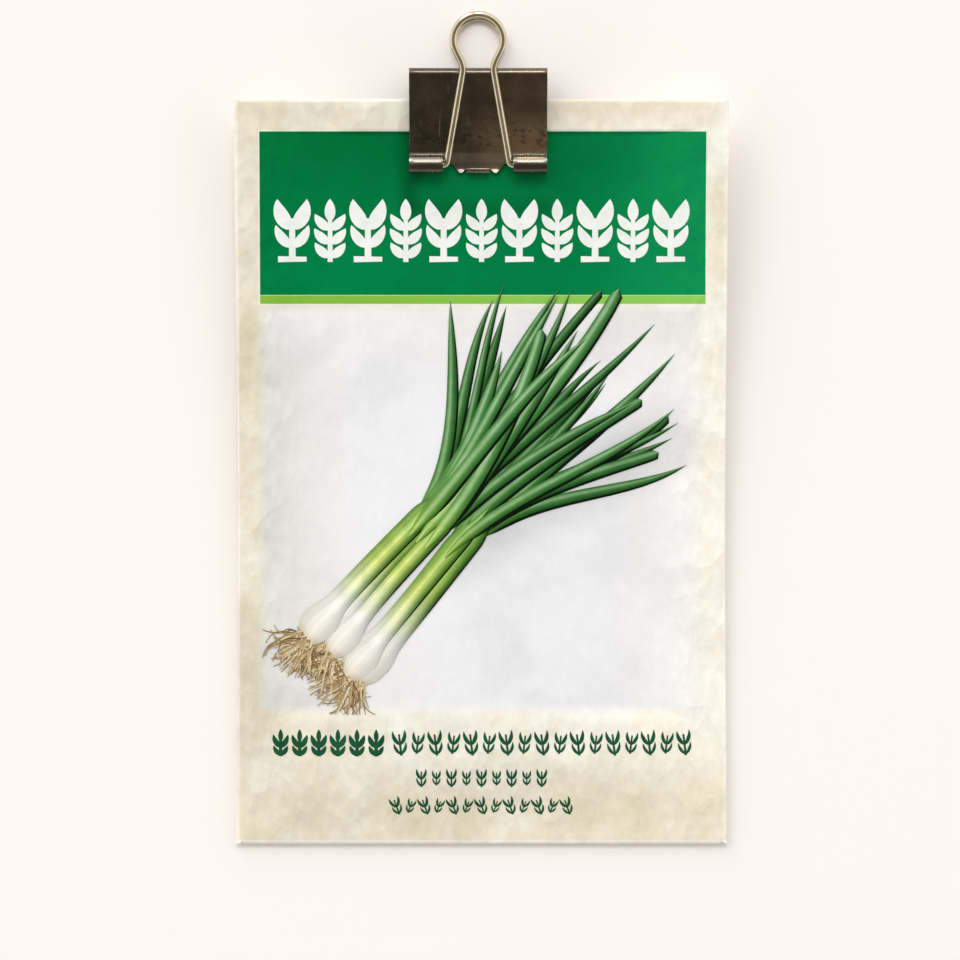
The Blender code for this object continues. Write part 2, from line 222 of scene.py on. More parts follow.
class Value:
    """A node's output, which sums can be written with."""

    def __init__(self, tree, socket):
        self.tree, self.socket = tree, socket

    def __add__(self, other):
        return maths("ADD", self, other)

    def __sub__(self, other):
        return maths("SUBTRACT", self, other)

    def __rsub__(self, other):
        return maths("SUBTRACT", other, self)

    def __mul__(self, other):
        return maths("MULTIPLY", self, other)

    def __truediv__(self, other):
        return maths("DIVIDE", self, other)

    def __abs__(self):
        return maths("ABSOLUTE", self)


class Outputs(list):
    """The Values of a node, by number or by name."""

    def __init__(self, node):
        super().__init__(Value(node.id_data, one) for one in node.outputs)

    def __getitem__(self, key):
        if isinstance(key, str):
            return next(one for one in self if one.socket.name == key)
        return super().__getitem__(key)


def feed(socket, value):
    """Gives a socket a link or a value."""
    if isinstance(value, Value):
        value.tree.links.new(value.socket, socket)
    else:
        socket.default_value = value


def add_node(tree, kind, inputs, **settings):
    """A new node: its settings, and its inputs filled by number or by name. Returns its outputs."""
    node = tree.nodes.new(kind)
    for name, value in settings.items():
        setattr(node, name, value)
    for key, value in inputs.items():
        feed(node.inputs[key], value)
    return Outputs(node)


def tree_of(*values):
    """The tree that the Values among these are in."""
    return next(one.tree for one in values if isinstance(one, Value))


def maths(kind, *values, clamp=False):
    """A Math node."""
    inputs = dict(enumerate(values))
    return add_node(tree_of(*values), "ShaderNodeMath", inputs, operation=kind, use_clamp=clamp)[0]


def least(*values):
    """The least of two or more values."""
    first, *others = values
    for one in others:
        first = maths("MINIMUM", first, one)
    return first


print("a screen grey of 128 is", round(seen(128, 128, 128)[0], 3), "in linear light")


# %% Short names for the nodes that the finishes use
def blend(factor, first, second, kind="MIX"):
    """A Mix node for colours."""
    tree, inputs = tree_of(factor, first, second), {0: factor, 6: first, 7: second}
    return add_node(tree, "ShaderNodeMix", inputs, data_type="RGBA", blend_type=kind, clamp_factor=True)[2]


def spread(value, low, high, to_low=0.0, to_high=1.0, smooth=True):
    """A Map Range node."""
    inputs = dict(enumerate((value, low, high, to_low, to_high)))
    way = "SMOOTHSTEP" if smooth else "LINEAR"
    return add_node(value.tree, "ShaderNodeMapRange", inputs, interpolation_type=way)[0]


def mottle(vector, scale, detail=3.0, rough=0.55):
    """A Noise Texture node, from 0 to 1."""
    inputs = {"Vector": vector, "Scale": scale, "Detail": detail, "Roughness": rough}
    return add_node(vector.tree, "ShaderNodeTexNoise", inputs)["Fac"]


def stretch(vector, scale, turn=0.0):
    """A Mapping node that scales a pattern, and turns it about Z."""
    inputs = {"Vector": vector, "Scale": scale, "Rotation": (0, 0, turn)}
    return add_node(vector.tree, "ShaderNodeMapping", inputs)[0]


def ramp(value, stops):
    """A Color Ramp node through the given stops."""
    node = value.tree.nodes.new("ShaderNodeValToRGB")
    feed(node.inputs[0], value)
    while len(node.color_ramp.elements) < len(stops):
        node.color_ramp.elements.new(0.5)
    for element, (place, colour) in zip(node.color_ramp.elements, stops):
        element.position, element.color = place, colour
    return Outputs(node)[0]


def coordinates(tree, kind="Object"):
    """The object's own coordinates, in metres."""
    return add_node(tree, "ShaderNodeTexCoord", {})[kind]


def uv_of(tree, name):
    """A UV map by name."""
    return add_node(tree, "ShaderNodeUVMap", {}, uv_map=name)[0]


def attribute(tree, name):
    """A number that the mesh carries at each point."""
    return add_node(tree, "ShaderNodeAttribute", {}, attribute_name=name)["Fac"]


def split(vector):
    """The three parts of a vector."""
    return add_node(vector.tree, "ShaderNodeSeparateXYZ", {0: vector})


def shaded_by(colour, red, green, blue):
    """A colour multiplied by a tone for each of its parts."""
    tones = add_node(red.tree, "ShaderNodeCombineColor", {0: red, 1: green, 2: blue})[0]
    return blend(1.0, colour, tones, "MULTIPLY")


def bumped(height, strength, distance):
    """A Bump node: the normal of a surface with this height."""
    inputs = {"Strength": strength, "Distance": distance, "Height": height}
    return add_node(height.tree, "ShaderNodeBump", inputs)[0]


print("short names for nodes ready")


# %% Empty finishes and node groups
def new_finish(name, roughness, metallic=0.0, specular=0.5):
    """An empty finish: the material, its tree and its shader's inputs."""
    made = bpy.data.materials.new(name)
    made.use_nodes = True
    sockets = made.node_tree.nodes["Principled BSDF"].inputs
    for label, value in (("Roughness", roughness), ("Metallic", metallic), ("Specular IOR Level", specular)):
        sockets[label].default_value = value
    return made, made.node_tree, sockets


def new_group(kind, name, inputs, outputs):
    """A node group with named sockets: its tree, the Values to read and the sockets to fill."""
    tree = bpy.data.node_groups.new(name, kind)
    for label, socket_type, value in inputs:
        socket = tree.interface.new_socket(label, in_out="INPUT", socket_type=socket_type)
        if value is not None:
            socket.default_value = value
    for label, socket_type in outputs:
        tree.interface.new_socket(label, in_out="OUTPUT", socket_type=socket_type)
    return tree, Outputs(tree.nodes.new("NodeGroupInput")), tree.nodes.new("NodeGroupOutput").inputs


def effect(name, inputs, outputs):
    """A shader group of numbers. An input is a name, or a name and its value."""
    given = [one if isinstance(one, tuple) else (one, 0.0) for one in inputs]
    inputs = [(label, "NodeSocketFloat", value) for label, value in given if label != "Vector"]
    if "Vector" in dict(given):
        inputs.insert(0, ("Vector", "NodeSocketVector", None))
    return new_group("ShaderNodeTree", name, inputs, [(label, "NodeSocketFloat") for label in outputs])


def use_group(group, **values):
    """A copy of a node group, with its inputs filled. Spaces in names are written as _."""
    inputs = {label.replace("_", " "): value for label, value in values.items()}
    return add_node(tree_of(*values.values()), "ShaderNodeGroup", inputs, node_tree=group)


print("finishes and node groups can be started")

# %% [markdown]
# ## Effects that several finishes share
# Ink and paper show the same fibres, so the fibres are one node group that the paper and every ink
# use. A second group gives the facets of paper that was crushed and smoothed out again. A third cuts
# a rectangle of print, and a fourth gives a soft stroke of shade or wear.

# %% Node groups for paper and print
FIBRES, read, fill = effect("paper fibres", ("Vector", ("Coarse", 0.5)), ("Height", "Tone"))
fine = mottle(read["Vector"], 2600.0, 2.0)
felt = mottle(read["Vector"], 520.0, 3.0)
pucker = mottle(read["Vector"], 190.0, 2.0)
rough_part = pucker * read["Coarse"]
feed(fill["Height"], felt * 0.25 + fine * 0.08 + rough_part)
feed(fill["Tone"], felt * 0.6 + pucker * 0.4)


def facets(vector, scale, wander):
    """Facets as in crushed paper: the distance to the nearest of scattered points, with wandering edges."""
    cloud = add_node(vector.tree, "ShaderNodeTexNoise", {"Vector": vector, "Scale": scale * 0.9})["Color"]
    inputs = {0: cloud, 1: (wander, wander, wander), 2: vector}
    moved = add_node(vector.tree, "ShaderNodeVectorMath", inputs, operation="MULTIPLY_ADD")[0]
    return add_node(vector.tree, "ShaderNodeTexVoronoi", {"Vector": moved, "Scale": scale})["Distance"]


CREASES, read, fill = effect("creases", ("Vector",), ("Height",))
slanted = stretch(read["Vector"], (1.25, 0.75, 1.0), 0.6)
feed(fill["Height"], facets(slanted, 100.0, 0.007) + facets(slanted, 290.0, 0.003) * 0.3)

sides = ("Left", "Right", "Bottom", "Top")
RECTANGLE, read, fill = effect("printed rectangle", ("U", "V", *sides, ("Edge", 0.06)), ("Mask",))
across = least(read["U"] - read["Left"], read["Right"] - read["U"])
along = least(read["V"] - read["Bottom"], read["Top"] - read["V"])
feed(fill["Mask"], maths("DIVIDE", least(across, along), read["Edge"], clamp=True))

ends = ("From U", "From V", "To U", "To V")
STROKE, read, fill = effect("soft stroke", ("U", "V", *ends, ("Reach", 6.0)), ("Mask",))
way = [read["To U"] - read["From U"], read["To V"] - read["From V"]]
off = [read["U"] - read["From U"], read["V"] - read["From V"]]
along, long = way[0] * off[0] + way[1] * off[1], way[0] * way[0] + way[1] * way[1]
share = maths("DIVIDE", along, long, clamp=True)
away = [maths("POWER", o - share * w, 2.0) for o, w in zip(off, way)]
distance = maths("SQRT", away[0] + away[1])
feed(fill["Mask"], spread(distance / read["Reach"], 0.0, 1.0, 1.0, 0.0))
print("shared effects:", ", ".join(g.name for g in bpy.data.node_groups))

# %% [markdown]
# ## The printed paper
# The stock is cream and unevenly toned. It is darker and warmer at the left and paler at the right,
# partly from age and partly as painted shade and light, and it is darker at the foot. On it are a
# green band with a lighter stripe under it, and a pale picture panel, with the same painted light
# across them. The print is placed on the flat sheet, through a UV map in decimetres, so it follows
# the folds as real ink does.
# Hands have touched the borders most, so tone and creases are harder there.

# %% The paper's finish
# Each printed field is its left, right, bottom and top, in millimetres on the sheet.
PANEL = (-41.2, 41.0, 23.6, 99.4)
BAND_EDGE = (-40.75, 41.2, 98.7, 130.55)
STRIPE = (-40.45, 40.9, 98.9, 100.5)
BAND = (-40.45, 40.9, 100.5, 130.2)


def cream_stock(u, v, place, stroke):
    """The bare stock: its tone across and up the packet, partly age and partly painted shade and light,
    blotches, darker strokes on the borders, and painted highlights on the folds.
    """
    across, up, rim = spread(u, -45.0, 45.0), spread(v, 6.0, 27.0), abs(u)
    blotch, speck = mottle(place, 75.0, 4.0, 0.62), mottle(place, 420.0, 3.0, 0.6)
    # Darker at the left and paler at the right: partly age, partly painted shade and light.
    cream = blend(across, seen(231, 225, 206), seen(250, 247, 236))
    cream = blend(up, blend(across, seen(230, 223, 203), seen(238, 230, 208)), cream)
    middle = spread(rim, 10.0, 40.0, 1.0, 0.0)
    lower = middle * least(spread(v, 8.0, 16.0), spread(v, 60.0, 30.0))
    cream = blend(lower * 0.6, cream, seen(235, 232, 222))
    cream = blend(spread(blotch, 0.45, 0.72), cream, seen(250, 247, 239), "MULTIPLY")
    cream = blend(spread(blotch, 0.5, 0.3, 0.0, 0.5), cream, seen(250, 249, 236))
    cream = blend(spread(speck, 0.54, 0.72, 0.0, 0.5), cream, seen(248, 244, 235), "MULTIPLY")
    # Soft darker strokes along the borders: the two on the left border are painted shade, the others darken
    # the top edge and the right border.
    for line, worn in (
        ((-44, 22, -44, 38, 13.0), seen(233, 230, 225)),
        ((-44, 84, -44, 94, 9.0), seen(245, 242, 236)),
        ((16, 135, 40, 135, 7.0), seen(242, 234, 225)),
        ((44, 106, 44, 118, 9.0), seen(243, 239, 228)),
    ):
        cream = blend(stroke(*line), cream, worn, "MULTIPLY")
    # The side folds and the foot fold are lightened as painted highlights, where a fold catches the light.
    side_fold_highlight = spread(rim, 44.0, 44.5, 0.0, 0.35)
    foot_fold_highlight = spread(v, 0.9, 0.5) * spread(v, -1.2, -0.9)
    for fold in (side_fold_highlight, foot_fold_highlight * 0.75):
        cream = blend(fold, cream, seen(255, 254, 246))
    return cream


def picture_panel(u, v, cloud, stroke):
    """The picture's pale ground, darker at the left and the lower left and paler at the right as painted
    shade and light, with the soft shade that the bunch throws on it.
    """
    # Painted shade at the left and the lower left, and painted light at the right.
    panel = blend(spread(u, -40.0, -22.0), seen(223, 222, 216), seen(237, 237, 239))
    panel = blend(spread(u, 20.0, 40.0), panel, seen(245, 245, 242))
    high = blend(spread(u, 0.0, 34.0), seen(240, 239, 238), seen(230, 230, 227))
    panel = blend(spread(v, 84.0, 98.0), panel, high)
    corner = spread(v, 22.0, 70.0, 1.0, 0.0) * spread(u, -42.0, 0.0, 1.0, 0.0)
    panel = blend(corner * 0.5, panel, seen(222, 222, 218))
    panel = blend(spread(cloud, 0.42, 0.68), panel, seen(245, 245, 246), "MULTIPLY")
    for line, dark in (
        ((-24, 40, 0, 57, 8.0), 0.13), ((-4, 54, 26, 72, 11.0), 0.17),
        ((4, 62, 34, 74, 9.0), 0.14), ((-38, 26, -24, 26, 5.0), 0.1),
    ):
        panel = blend(stroke(*line) * dark, panel, seen(96, 104, 100), "MULTIPLY")
    return panel


def green_band(u, v, cloud, stroke):
    """The band's green, lighter at the right and the foot as painted light, with the clip's shadow painted
    round the clip.
    """
    band = blend(spread(v, 131.0, 101.0), seen(1, 118, 62), seen(1, 130, 72))
    band = blend(spread(u, 14.0, 42.0), band, seen(14, 147, 86))
    band = blend(spread(cloud, 0.35, 0.7, 0.0, 0.8), band, seen(225, 236, 232), "MULTIPLY")
    # The clip's shadow on the band, to its left and below it, is painted shade.
    for line, dark in (((-13.2, 131, -13.2, 117, 3.4), 0.45), ((-12, 116, 12, 116, 3.4), 0.3)):
        band = blend(stroke(*line) * dark, band, seen(90, 110, 96), "MULTIPLY")
    return band


def printed_paper():
    made, tree, shader = new_finish("printed paper", 0.62, specular=0.02)
    u, v, _ = split(stretch(uv_of(tree, "sheet"), (100, 100, 1)))
    place = coordinates(tree)
    cloud = mottle(place, 48.0, 4.0, 0.65)

    def stroke(u0, v0, u1, v1, reach):
        ends = {"From_U": u0, "From_V": v0, "To_U": u1, "To_V": v1}
        return use_group(STROKE, U=u, V=v, Reach=reach, **ends)["Mask"]

    def printed(field, edge=0.08):
        sides = dict(zip(("Left", "Right", "Bottom", "Top"), field))
        return use_group(RECTANGLE, U=u, V=v, Edge=edge, **sides)["Mask"]

    band_mask = printed(BAND)
    colour = blend(printed(PANEL, 2.1), cream_stock(u, v, place, stroke), picture_panel(u, v, cloud, stroke))
    colour = blend(printed(BAND_EDGE, 0.15), colour, seen(236, 240, 222))
    stripe = blend(spread(u, -40.0, 40.0), seen(131, 184, 66), seen(143, 203, 90))
    colour = blend(printed(STRIPE), colour, stripe)
    colour = blend(band_mask, colour, green_band(u, v, cloud, stroke))

    fibres = use_group(FIBRES, Vector=place, Coarse=0.8)
    streaks = mottle(stretch(place, (900, 420, 900), 0.2), 1.0, 3.0, 0.7)
    marks = fibres["Tone"] + (streaks - 0.5) * 1.3
    handled = maths("MAXIMUM", spread(abs(u), 29.0, 42.0), spread(v, 27.0, 21.0))
    handled = maths("MAXIMUM", handled, spread(v, 129.0, 131.0))
    soft_tone = spread(marks, 0.25, 0.75, 0.985, 1.012, smooth=False)
    hard_tone = spread(marks, 0.25, 0.75, 0.95, 1.03, smooth=False)
    tone = hard_tone * handled + soft_tone * (1.0 - handled)
    feed(shader["Base Color"], shaded_by(colour, tone, tone, tone))
    feed(shader["Roughness"], 0.66 - band_mask * 0.16)
    creased = use_group(CREASES, Vector=place)["Height"] * spread(handled, 0.0, 1.0, 2.4, 9.0)
    feed(shader["Normal"], bumped(fibres["Height"] + creased, 0.6, 0.00016))
    return made


def plain_paper():
    made, tree, shader = new_finish("plain paper", 0.8, specular=0.2)
    fibres = use_group(FIBRES, Vector=coordinates(tree), Coarse=0.5)
    feed(shader["Base Color"], blend(fibres["Tone"], seen(226, 219, 202), seen(244, 240, 226)))
    feed(shader["Normal"], bumped(fibres["Height"], 0.3, 0.0001))
    return made


PRINTED, PLAIN = printed_paper(), plain_paper()
print("printed paper has", len(PRINTED.node_tree.nodes), "nodes")

# %% [markdown]
# ## The folded sheet
# A real packet is cut flat, folded round at both sides, glued down the side seam and closed by a flap
# at each end. The mesh is made the same way: one grid goes round as side flap, front and back, and
# two flaps grow from its ends. A Solidify modifier gives it the paper's thickness and a plain inside.

# %% The packet's sheet
FOLD_STEPS, SIDE_STEPS, FRONT_STEPS, BACK_STEPS, FLAP_STEPS = 8, 6, 100, 40, 12
STATIONS, STATION_GAP, BACK_STOPS = range(2, 150), 0.9, 1.2 * MM
ROUND_ENDS = (0.35 * MM, 0.7 * MM)
# Each part of the girth ends this far from the packet's ends.
CUT = {"front": MIDDLE, "corner": 0.25 * MM, "fold": 0.22 * MM, "side": 0.9 * MM, "back": 0.9 * MM}


def arc(centre, radius, start, turn, steps):
    """Points of an arc in a plane, both ends included."""
    angles = [start + turn * i / steps for i in range(steps + 1)]
    return [(centre[0] + radius * math.cos(a), centre[1] + radius * math.sin(a)) for a in angles]


def girth(v):
    """The sheet's way round the packet at v, as (part, place on the flat sheet, x, height)."""
    half = half_width(v)
    right, left = (LEVEL_FRONT - LEVEL_SIDE) / 2, (LEVEL_FRONT - LEVEL_BACK) / 2
    right_x, left_x = half - right - PAPER / 2, -half + left + PAPER / 2
    points = []
    for i in range(SIDE_STEPS + 1):
        inward = (SIDE_FLAP - right - PAPER / 2) * (1 - i / SIDE_STEPS)
        points.append(("side", right_x + math.pi * right + inward, right_x - inward, LEVEL_SIDE))
    fold = arc((right_x, LEVEL_SIDE + right), right, -math.pi / 2, math.pi, FOLD_STEPS)
    for i, (x, n) in list(enumerate(fold))[1:]:
        points.append(("fold", right_x + math.pi * right * (1 - i / FOLD_STEPS), x, n))
    wide = right_x - left_x
    even = [wide * i / FRONT_STEPS for i in range(1, FRONT_STEPS)]
    for away in [*ROUND_ENDS, *even, *[wide - end for end in reversed(ROUND_ENDS)]]:
        x = right_x - away
        part = "corner" if min(away, wide - away) < 0.5 * MM else "front"
        points.append((part, x, x, LEVEL_FRONT + swell(x, v) + crumple(x, v)))
    fold = arc((left_x, LEVEL_BACK + left), left, math.pi / 2, math.pi, FOLD_STEPS)
    points += [("fold", left_x - math.pi * left * i / FOLD_STEPS, x, n) for i, (x, n) in enumerate(fold)]
    for i in range(1, BACK_STEPS + 1):
        x = left_x + (half - BACK_STOPS - left_x) * i / BACK_STEPS
        points.append(("back", left_x - math.pi * left - (x - left_x), x, LEVEL_BACK))
    return points


def flap_rows(length, reach):
    """The rows of a flap: how far out, how high, how narrow, and how far along the flat sheet."""
    turn = (LEVEL_FRONT - LEVEL_FLAP) / 2
    fold = arc((MIDDLE, LEVEL_FLAP + turn), turn, math.pi / 2, math.pi, FOLD_STEPS)
    rows = [(out, n, 1.0, math.pi * turn * i / FOLD_STEPS) for i, (out, n) in enumerate(fold)][1:]
    for i in range(1, FLAP_STEPS + 1):
        run = (length - MIDDLE) * i / FLAP_STEPS
        narrow = 1 - i / FLAP_STEPS * FLAP_TAPER / reach
        rows.append((MIDDLE + run, LEVEL_FLAP, narrow, math.pi * turn + run))
    return rows


def packet_sheet():
    verts, uvs = [], []
    stations = [0.0] + [v * STATION_GAP * MM for v in STATIONS] + [HEIGHT]
    for v in stations:
        for part, u, x, n in girth(v):
            at = min(max(v, CUT[part]), HEIGHT - CUT[part])
            verts.append(lay(x, at, n))
            uvs.append((u * 10, at * 10))
    parts = [part for part, *_ in girth(0)]
    fronts = [i for i, part in enumerate(parts) if part == "front"]
    faces = grid_faces(len(stations), len(parts))
    for first, end, way, length in ((0, 0.0, 1, BOTTOM_FLAP), (len(stations) - 1, HEIGHT, -1, TOP_FLAP)):
        near = [first * len(parts) + i for i in fronts]
        xs = [verts[i].x for i in near]
        for out, n, narrow, flat in flap_rows(length, max(xs)):
            far = list(range(len(verts), len(verts) + len(xs)))
            verts += [lay(x * narrow, end + way * out, n) for x in xs]
            uvs += [(x * narrow * 10, (end - way * (flat - MIDDLE)) * 10) for x in xs]
            quads = [(near[i], near[i + 1], far[i + 1], far[i]) for i in range(len(near) - 1)]
            faces += [quad[::-way] for quad in quads]
            near = far
    return mesh_of("packet_paper", verts, faces, {"sheet": uvs}, angle=60)


sheet = packet_sheet()
middle_face = min(sheet.polygons, key=lambda p: (p.center - front(0, 70 * MM)).length)
if middle_face.normal.z < 0:
    sheet.flip_normals()
sheet.materials.append(PRINTED)
sheet.materials.append(PLAIN)
wall = {"thickness": PAPER, "offset": 0, "use_even_offset": True}
wall |= {"material_offset": 1, "material_offset_rim": 1}
sheet = with_modifiers(sheet, [("SOLIDIFY", wall)], angle=45)
finish_piece("packet_paper", sheet, [PRINTED, PLAIN], "packet", ["paper_envelope"])
print("the folded sheet has", len(sheet.polygons), "faces")

# %% [markdown]
# ## Ink shapes
# The drawn parts of the print are thin films of ink. Each is drawn flat, as ribbons in millimetres on
# the sheet, and then laid on the bent paper. Later ribbons lie a hair above earlier ones, as inks
# printed one after another do.

# %% Ribbons of ink
INK_STEP, INK_LIFT, INK_THICK = 0.004 * MM, 0.025 * MM, 0.02 * MM


def drawn():
    """An empty store of drawn shapes."""
    return {"verts": [], "uvs": [], "tints": [], "faces": []}


def ribbon(store, points, widths, level, tint, across=4, grown=(0.0, 1.0)):
    """Adds a ribbon along points. grown gives the age of the plant at its ends, 0 at the root."""
    start = len(store["verts"])
    for i, (point, width) in enumerate(zip(points, widths)):
        before, after = points[max(i - 1, 0)], points[min(i + 1, len(points) - 1)]
        way = Vector((after[0] - before[0], after[1] - before[1])).normalized()
        age = grown[0] + (grown[1] - grown[0]) * i / (len(points) - 1)
        for k in range(across + 1):
            offset = (k / across - 0.5) * width
            store["verts"].append((point[0] - way.y * offset, point[1] + way.x * offset, level))
            store["uvs"].append((k / across, age))
            store["tints"].append(tint)
    store["faces"] += [face[::-1] for face in grid_faces(len(points), across + 1, start)]


def ink_film(name, store, finish):
    """Lays drawn shapes on the paper as one film of ink."""
    verts = [front(x * MM, y * MM, INK_LIFT + level * INK_STEP) for x, y, level in store["verts"]]
    data = mesh_of(name, verts, store["faces"], {"ink": store["uvs"], "tint": store["tints"]}, angle=180)
    data = with_modifiers(data, [("SOLIDIFY", {"thickness": INK_THICK, "offset": -1})], angle=30)
    return finish_piece(name, data, [finish], "packet")


def bezier(p0, p1, p2, p3, steps):
    """Points of a cubic curve."""
    points = []
    for i in range(steps + 1):
        t = i / steps
        shares = ((1 - t) ** 3, 3 * t * (1 - t) ** 2, 3 * t * t * (1 - t), t**3)
        points.append(tuple(sum(s * p[k] for s, p in zip(shares, (p0, p1, p2, p3))) for k in (0, 1)))
    return points


def new_ink(name, roughness=0.5, specular=0.08):
    """An ink that shows the paper's fibres: the material, the fibres and the socket for its colour."""
    made, tree, shader = new_finish(name, roughness, specular=specular)
    fibres = use_group(FIBRES, Vector=coordinates(tree), Coarse=0.8)
    feed(shader["Normal"], bumped(fibres["Height"], 0.3, 0.00012))
    return made, fibres, shader["Base Color"]


print("an ink film is", round(INK_THICK / MM, 3), "mm thick")

# %% [markdown]
# ## The picture: a bunch of spring onions
# The picture is a plain botanical one, drawn here by rule. Each onion is a white bulb with a tuft of
# roots and a stem that greens as it rises, and its leaves fan out from the neck. Along a ribbon, the
# age of the plant gives the colour, from white to deep green. Across it, the tone gives roundness.


# %% The inks of the picture
def onion_ink():
    made, _, base = new_ink("onion ink")
    tree = base.id_data
    across, grown, _ = split(uv_of(tree, "ink"))
    colour = ramp(grown, [
        (0.0, seen(206, 184, 150)),
        (0.035, seen(234, 229, 217)),
        (0.13, seen(240, 240, 234)),
        (0.185, seen(222, 230, 180)),
        (0.25, seen(190, 207, 112)),
        (0.35, seen(150, 186, 84)),
        (0.46, seen(108, 160, 82)),
        (0.6, seen(84, 144, 78)),
        (1.0, seen(82, 138, 80)),
    ])
    off = abs(across - 0.64)
    shine = spread(off, 0.02, 0.3, 0.3, 0.0)
    colour = blend(shine * spread(grown, 0.2, 0.5), colour, seen(200, 222, 186))
    veins = mottle(stretch(uv_of(tree, "ink"), (14, 5, 1)), 1.0, 2.0, 0.5)
    patches = mottle(coordinates(tree), 300.0, 3.0, 0.6)
    tone = 1.14 - spread(off, 0.0, 0.64) * spread(grown, 0.3, 0.5, 0.9, 0.74)
    tone = tone * spread(veins, 0.3, 0.7, 0.84, 1.1) * spread(patches, 0.3, 0.7, 0.9, 1.08)
    tone = tone * spread(attribute(tree, "tint"), 0.0, 1.0, 0.02, 1.16, smooth=False)
    pale = spread(grown, 0.08, 0.24, 0.66, 0.0)
    tone = tone * (1.0 - pale) + pale
    deep = maths("POWER", tone, spread(grown, 0.1, 0.3, 1.0, 1.45))
    feed(base, shaded_by(colour, deep, tone, deep))
    return made


def root_ink():
    made, _, base = new_ink("root ink", 0.6, 0.06)
    tree = base.id_data
    colour = ramp(attribute(tree, "tint"), [
        (0.0, seen(112, 84, 48)),
        (0.45, seen(178, 148, 100)),
        (0.75, seen(216, 194, 150)),
        (1.0, seen(238, 222, 188)),
    ])
    tone = spread(split(uv_of(tree, "ink"))[0], 0.0, 0.9, 0.55, 1.05)
    feed(base, shaded_by(colour, tone, tone, tone))
    return made


ONION_INK, ROOT_INK = onion_ink(), root_ink()
print("inks of the picture:", ONION_INK.name, "and", ROOT_INK.name)

# %% The shapes of an onion's parts
draw = random.Random(29)
BULB_LINE, NECK = Vector((-24.9, 37.6)), Vector((-5.2, 60.0))
LEAN = (NECK - BULB_LINE).normalized()
SIDE = Vector((-LEAN.y, LEAN.x))
SHADE = Vector((0.36, -0.42))
PICTURE_LEFT, PICTURE_FOOT = -40.1, 23.9
STEPS, ROOT_STEPS = 48, 12


def leaf_widths(width, cut):
    """A leaf is narrow at the stem, full soon after, and ends in a long tip or, cut, in a blunt one."""
    widths = []
    for i in range(STEPS + 1):
        t = i / STEPS
        tip = (1 - t**4.4) ** 1.05
        if cut:
            tip = (1 - 0.3 * t**3) * math.sqrt(max(0.0, 1 - max(0.0, (t - 0.97) / 0.03) ** 2))
        widths.append(max(0.02, width * (0.1 + 0.9 * min(1.0, t * 7) ** 0.6) * tip))
    return widths


def stem_widths(width):
    """A stem swells into its bulb at the root end, and closes in a sheath at the neck."""
    widths = []
    for i in range(STEPS + 1):
        t = i / STEPS
        bulb = 1.02 * math.exp(-(((t - 0.13) / 0.105) ** 2))
        round_end = math.sqrt(max(0.0, 1 - (1 - min(1.0, (t + 0.02) / 0.14)) ** 2))
        sheath = 1 - smoothstep((t - 0.82) / 0.18)
        widths.append(max(0.05, width * round_end * (0.9 + bulb + 0.16 * t) * sheath))
    return widths


def shaded(store, points, widths, level, tint, grown, across=6):
    """A ribbon over its own thin shade, which falls down and to the right and starts a little later."""
    full = max(widths)
    under = [(x + SHADE.x * w / full, y + SHADE.y * w / full) for (x, y), w in zip(points, widths)]
    late = [w * smoothstep((i + 0.5) / (0.22 * len(widths))) for i, w in enumerate(widths)]
    ribbon(store, under, late, level - 0.5, 0.03, across, grown)
    ribbon(store, points, widths, level, tint, across, grown)


def leaf_points(neck, aim, reach):
    """A leaf's line: up inside the stem first, then out along its own direction, a little bowed."""
    way = Vector((math.cos(aim), math.sin(aim)))
    tip = neck + way * reach
    past_side = (tip.x - draw.uniform(34.0, 39.8)) / max(0.01, way.x)
    past_top = (tip.y - draw.uniform(90.0, 102.8)) / max(0.01, way.y)
    over = max(past_side, past_top, 0.0)
    tip -= way * over
    reach -= over
    bow = Vector((-way.y, way.x)) * draw.uniform(-3.5, 3.5)
    return bezier(neck - LEAN * 7, neck + LEAN * reach * 0.22, neck + way * reach * 0.66 + bow, tip, STEPS)


def draw_root(store, base, level, fan, lengths, curl, width, tones):
    """A root out of the bulb's base. One that would leave the picture is shrunk towards its start."""
    out = Matrix.Rotation(draw.uniform(-fan, fan), 2) @ -LEAN
    reach = draw.uniform(*lengths)
    start = base + SIDE * draw.uniform(-1.3, 1.3) + LEAN * draw.uniform(0.0, 0.9)
    bend = Vector((-out.y, out.x)) * draw.uniform(-1.0, 1.0) * curl
    tip = start + out * reach - bend * 0.5
    points = bezier(start, start + out * reach * 0.4, start + out * reach * 0.7 + bend, tip, ROOT_STEPS)
    rooms = [(start.x - PICTURE_LEFT) / (start.x - x) for x, _ in points if x < PICTURE_LEFT]
    rooms += [(start.y - PICTURE_FOOT) / (start.y - y) for _, y in points if y < PICTURE_FOOT]
    room = min([*rooms, 1.0])
    points = [(start.x + (x - start.x) * room, start.y + (y - start.y) * room) for x, y in points]
    widths = [width * (1 - 0.6 * i / ROOT_STEPS) for i in range(ROOT_STEPS + 1)]
    ribbon(store, points, widths, level, draw.uniform(*tones), across=1)


print("the onions lean", round(math.degrees(math.atan2(LEAN.y, LEAN.x))), "degrees up from the foot")

# %% The bunch, drawn by rule
ROOTS, FINE_ROOTS, LEAVES, LEAVES_IN_FRONT = 44, 26, 4, 7
FINE = {"fan": 1.25, "lengths": (3.0, 8.2), "curl": 2.4, "width": 0.3, "tones": (0.0, 0.55)}
THICK = {"fan": 0.75, "lengths": (4.2, 7.6), "curl": 0.7, "width": 0.42, "tones": (0.4, 1.0)}

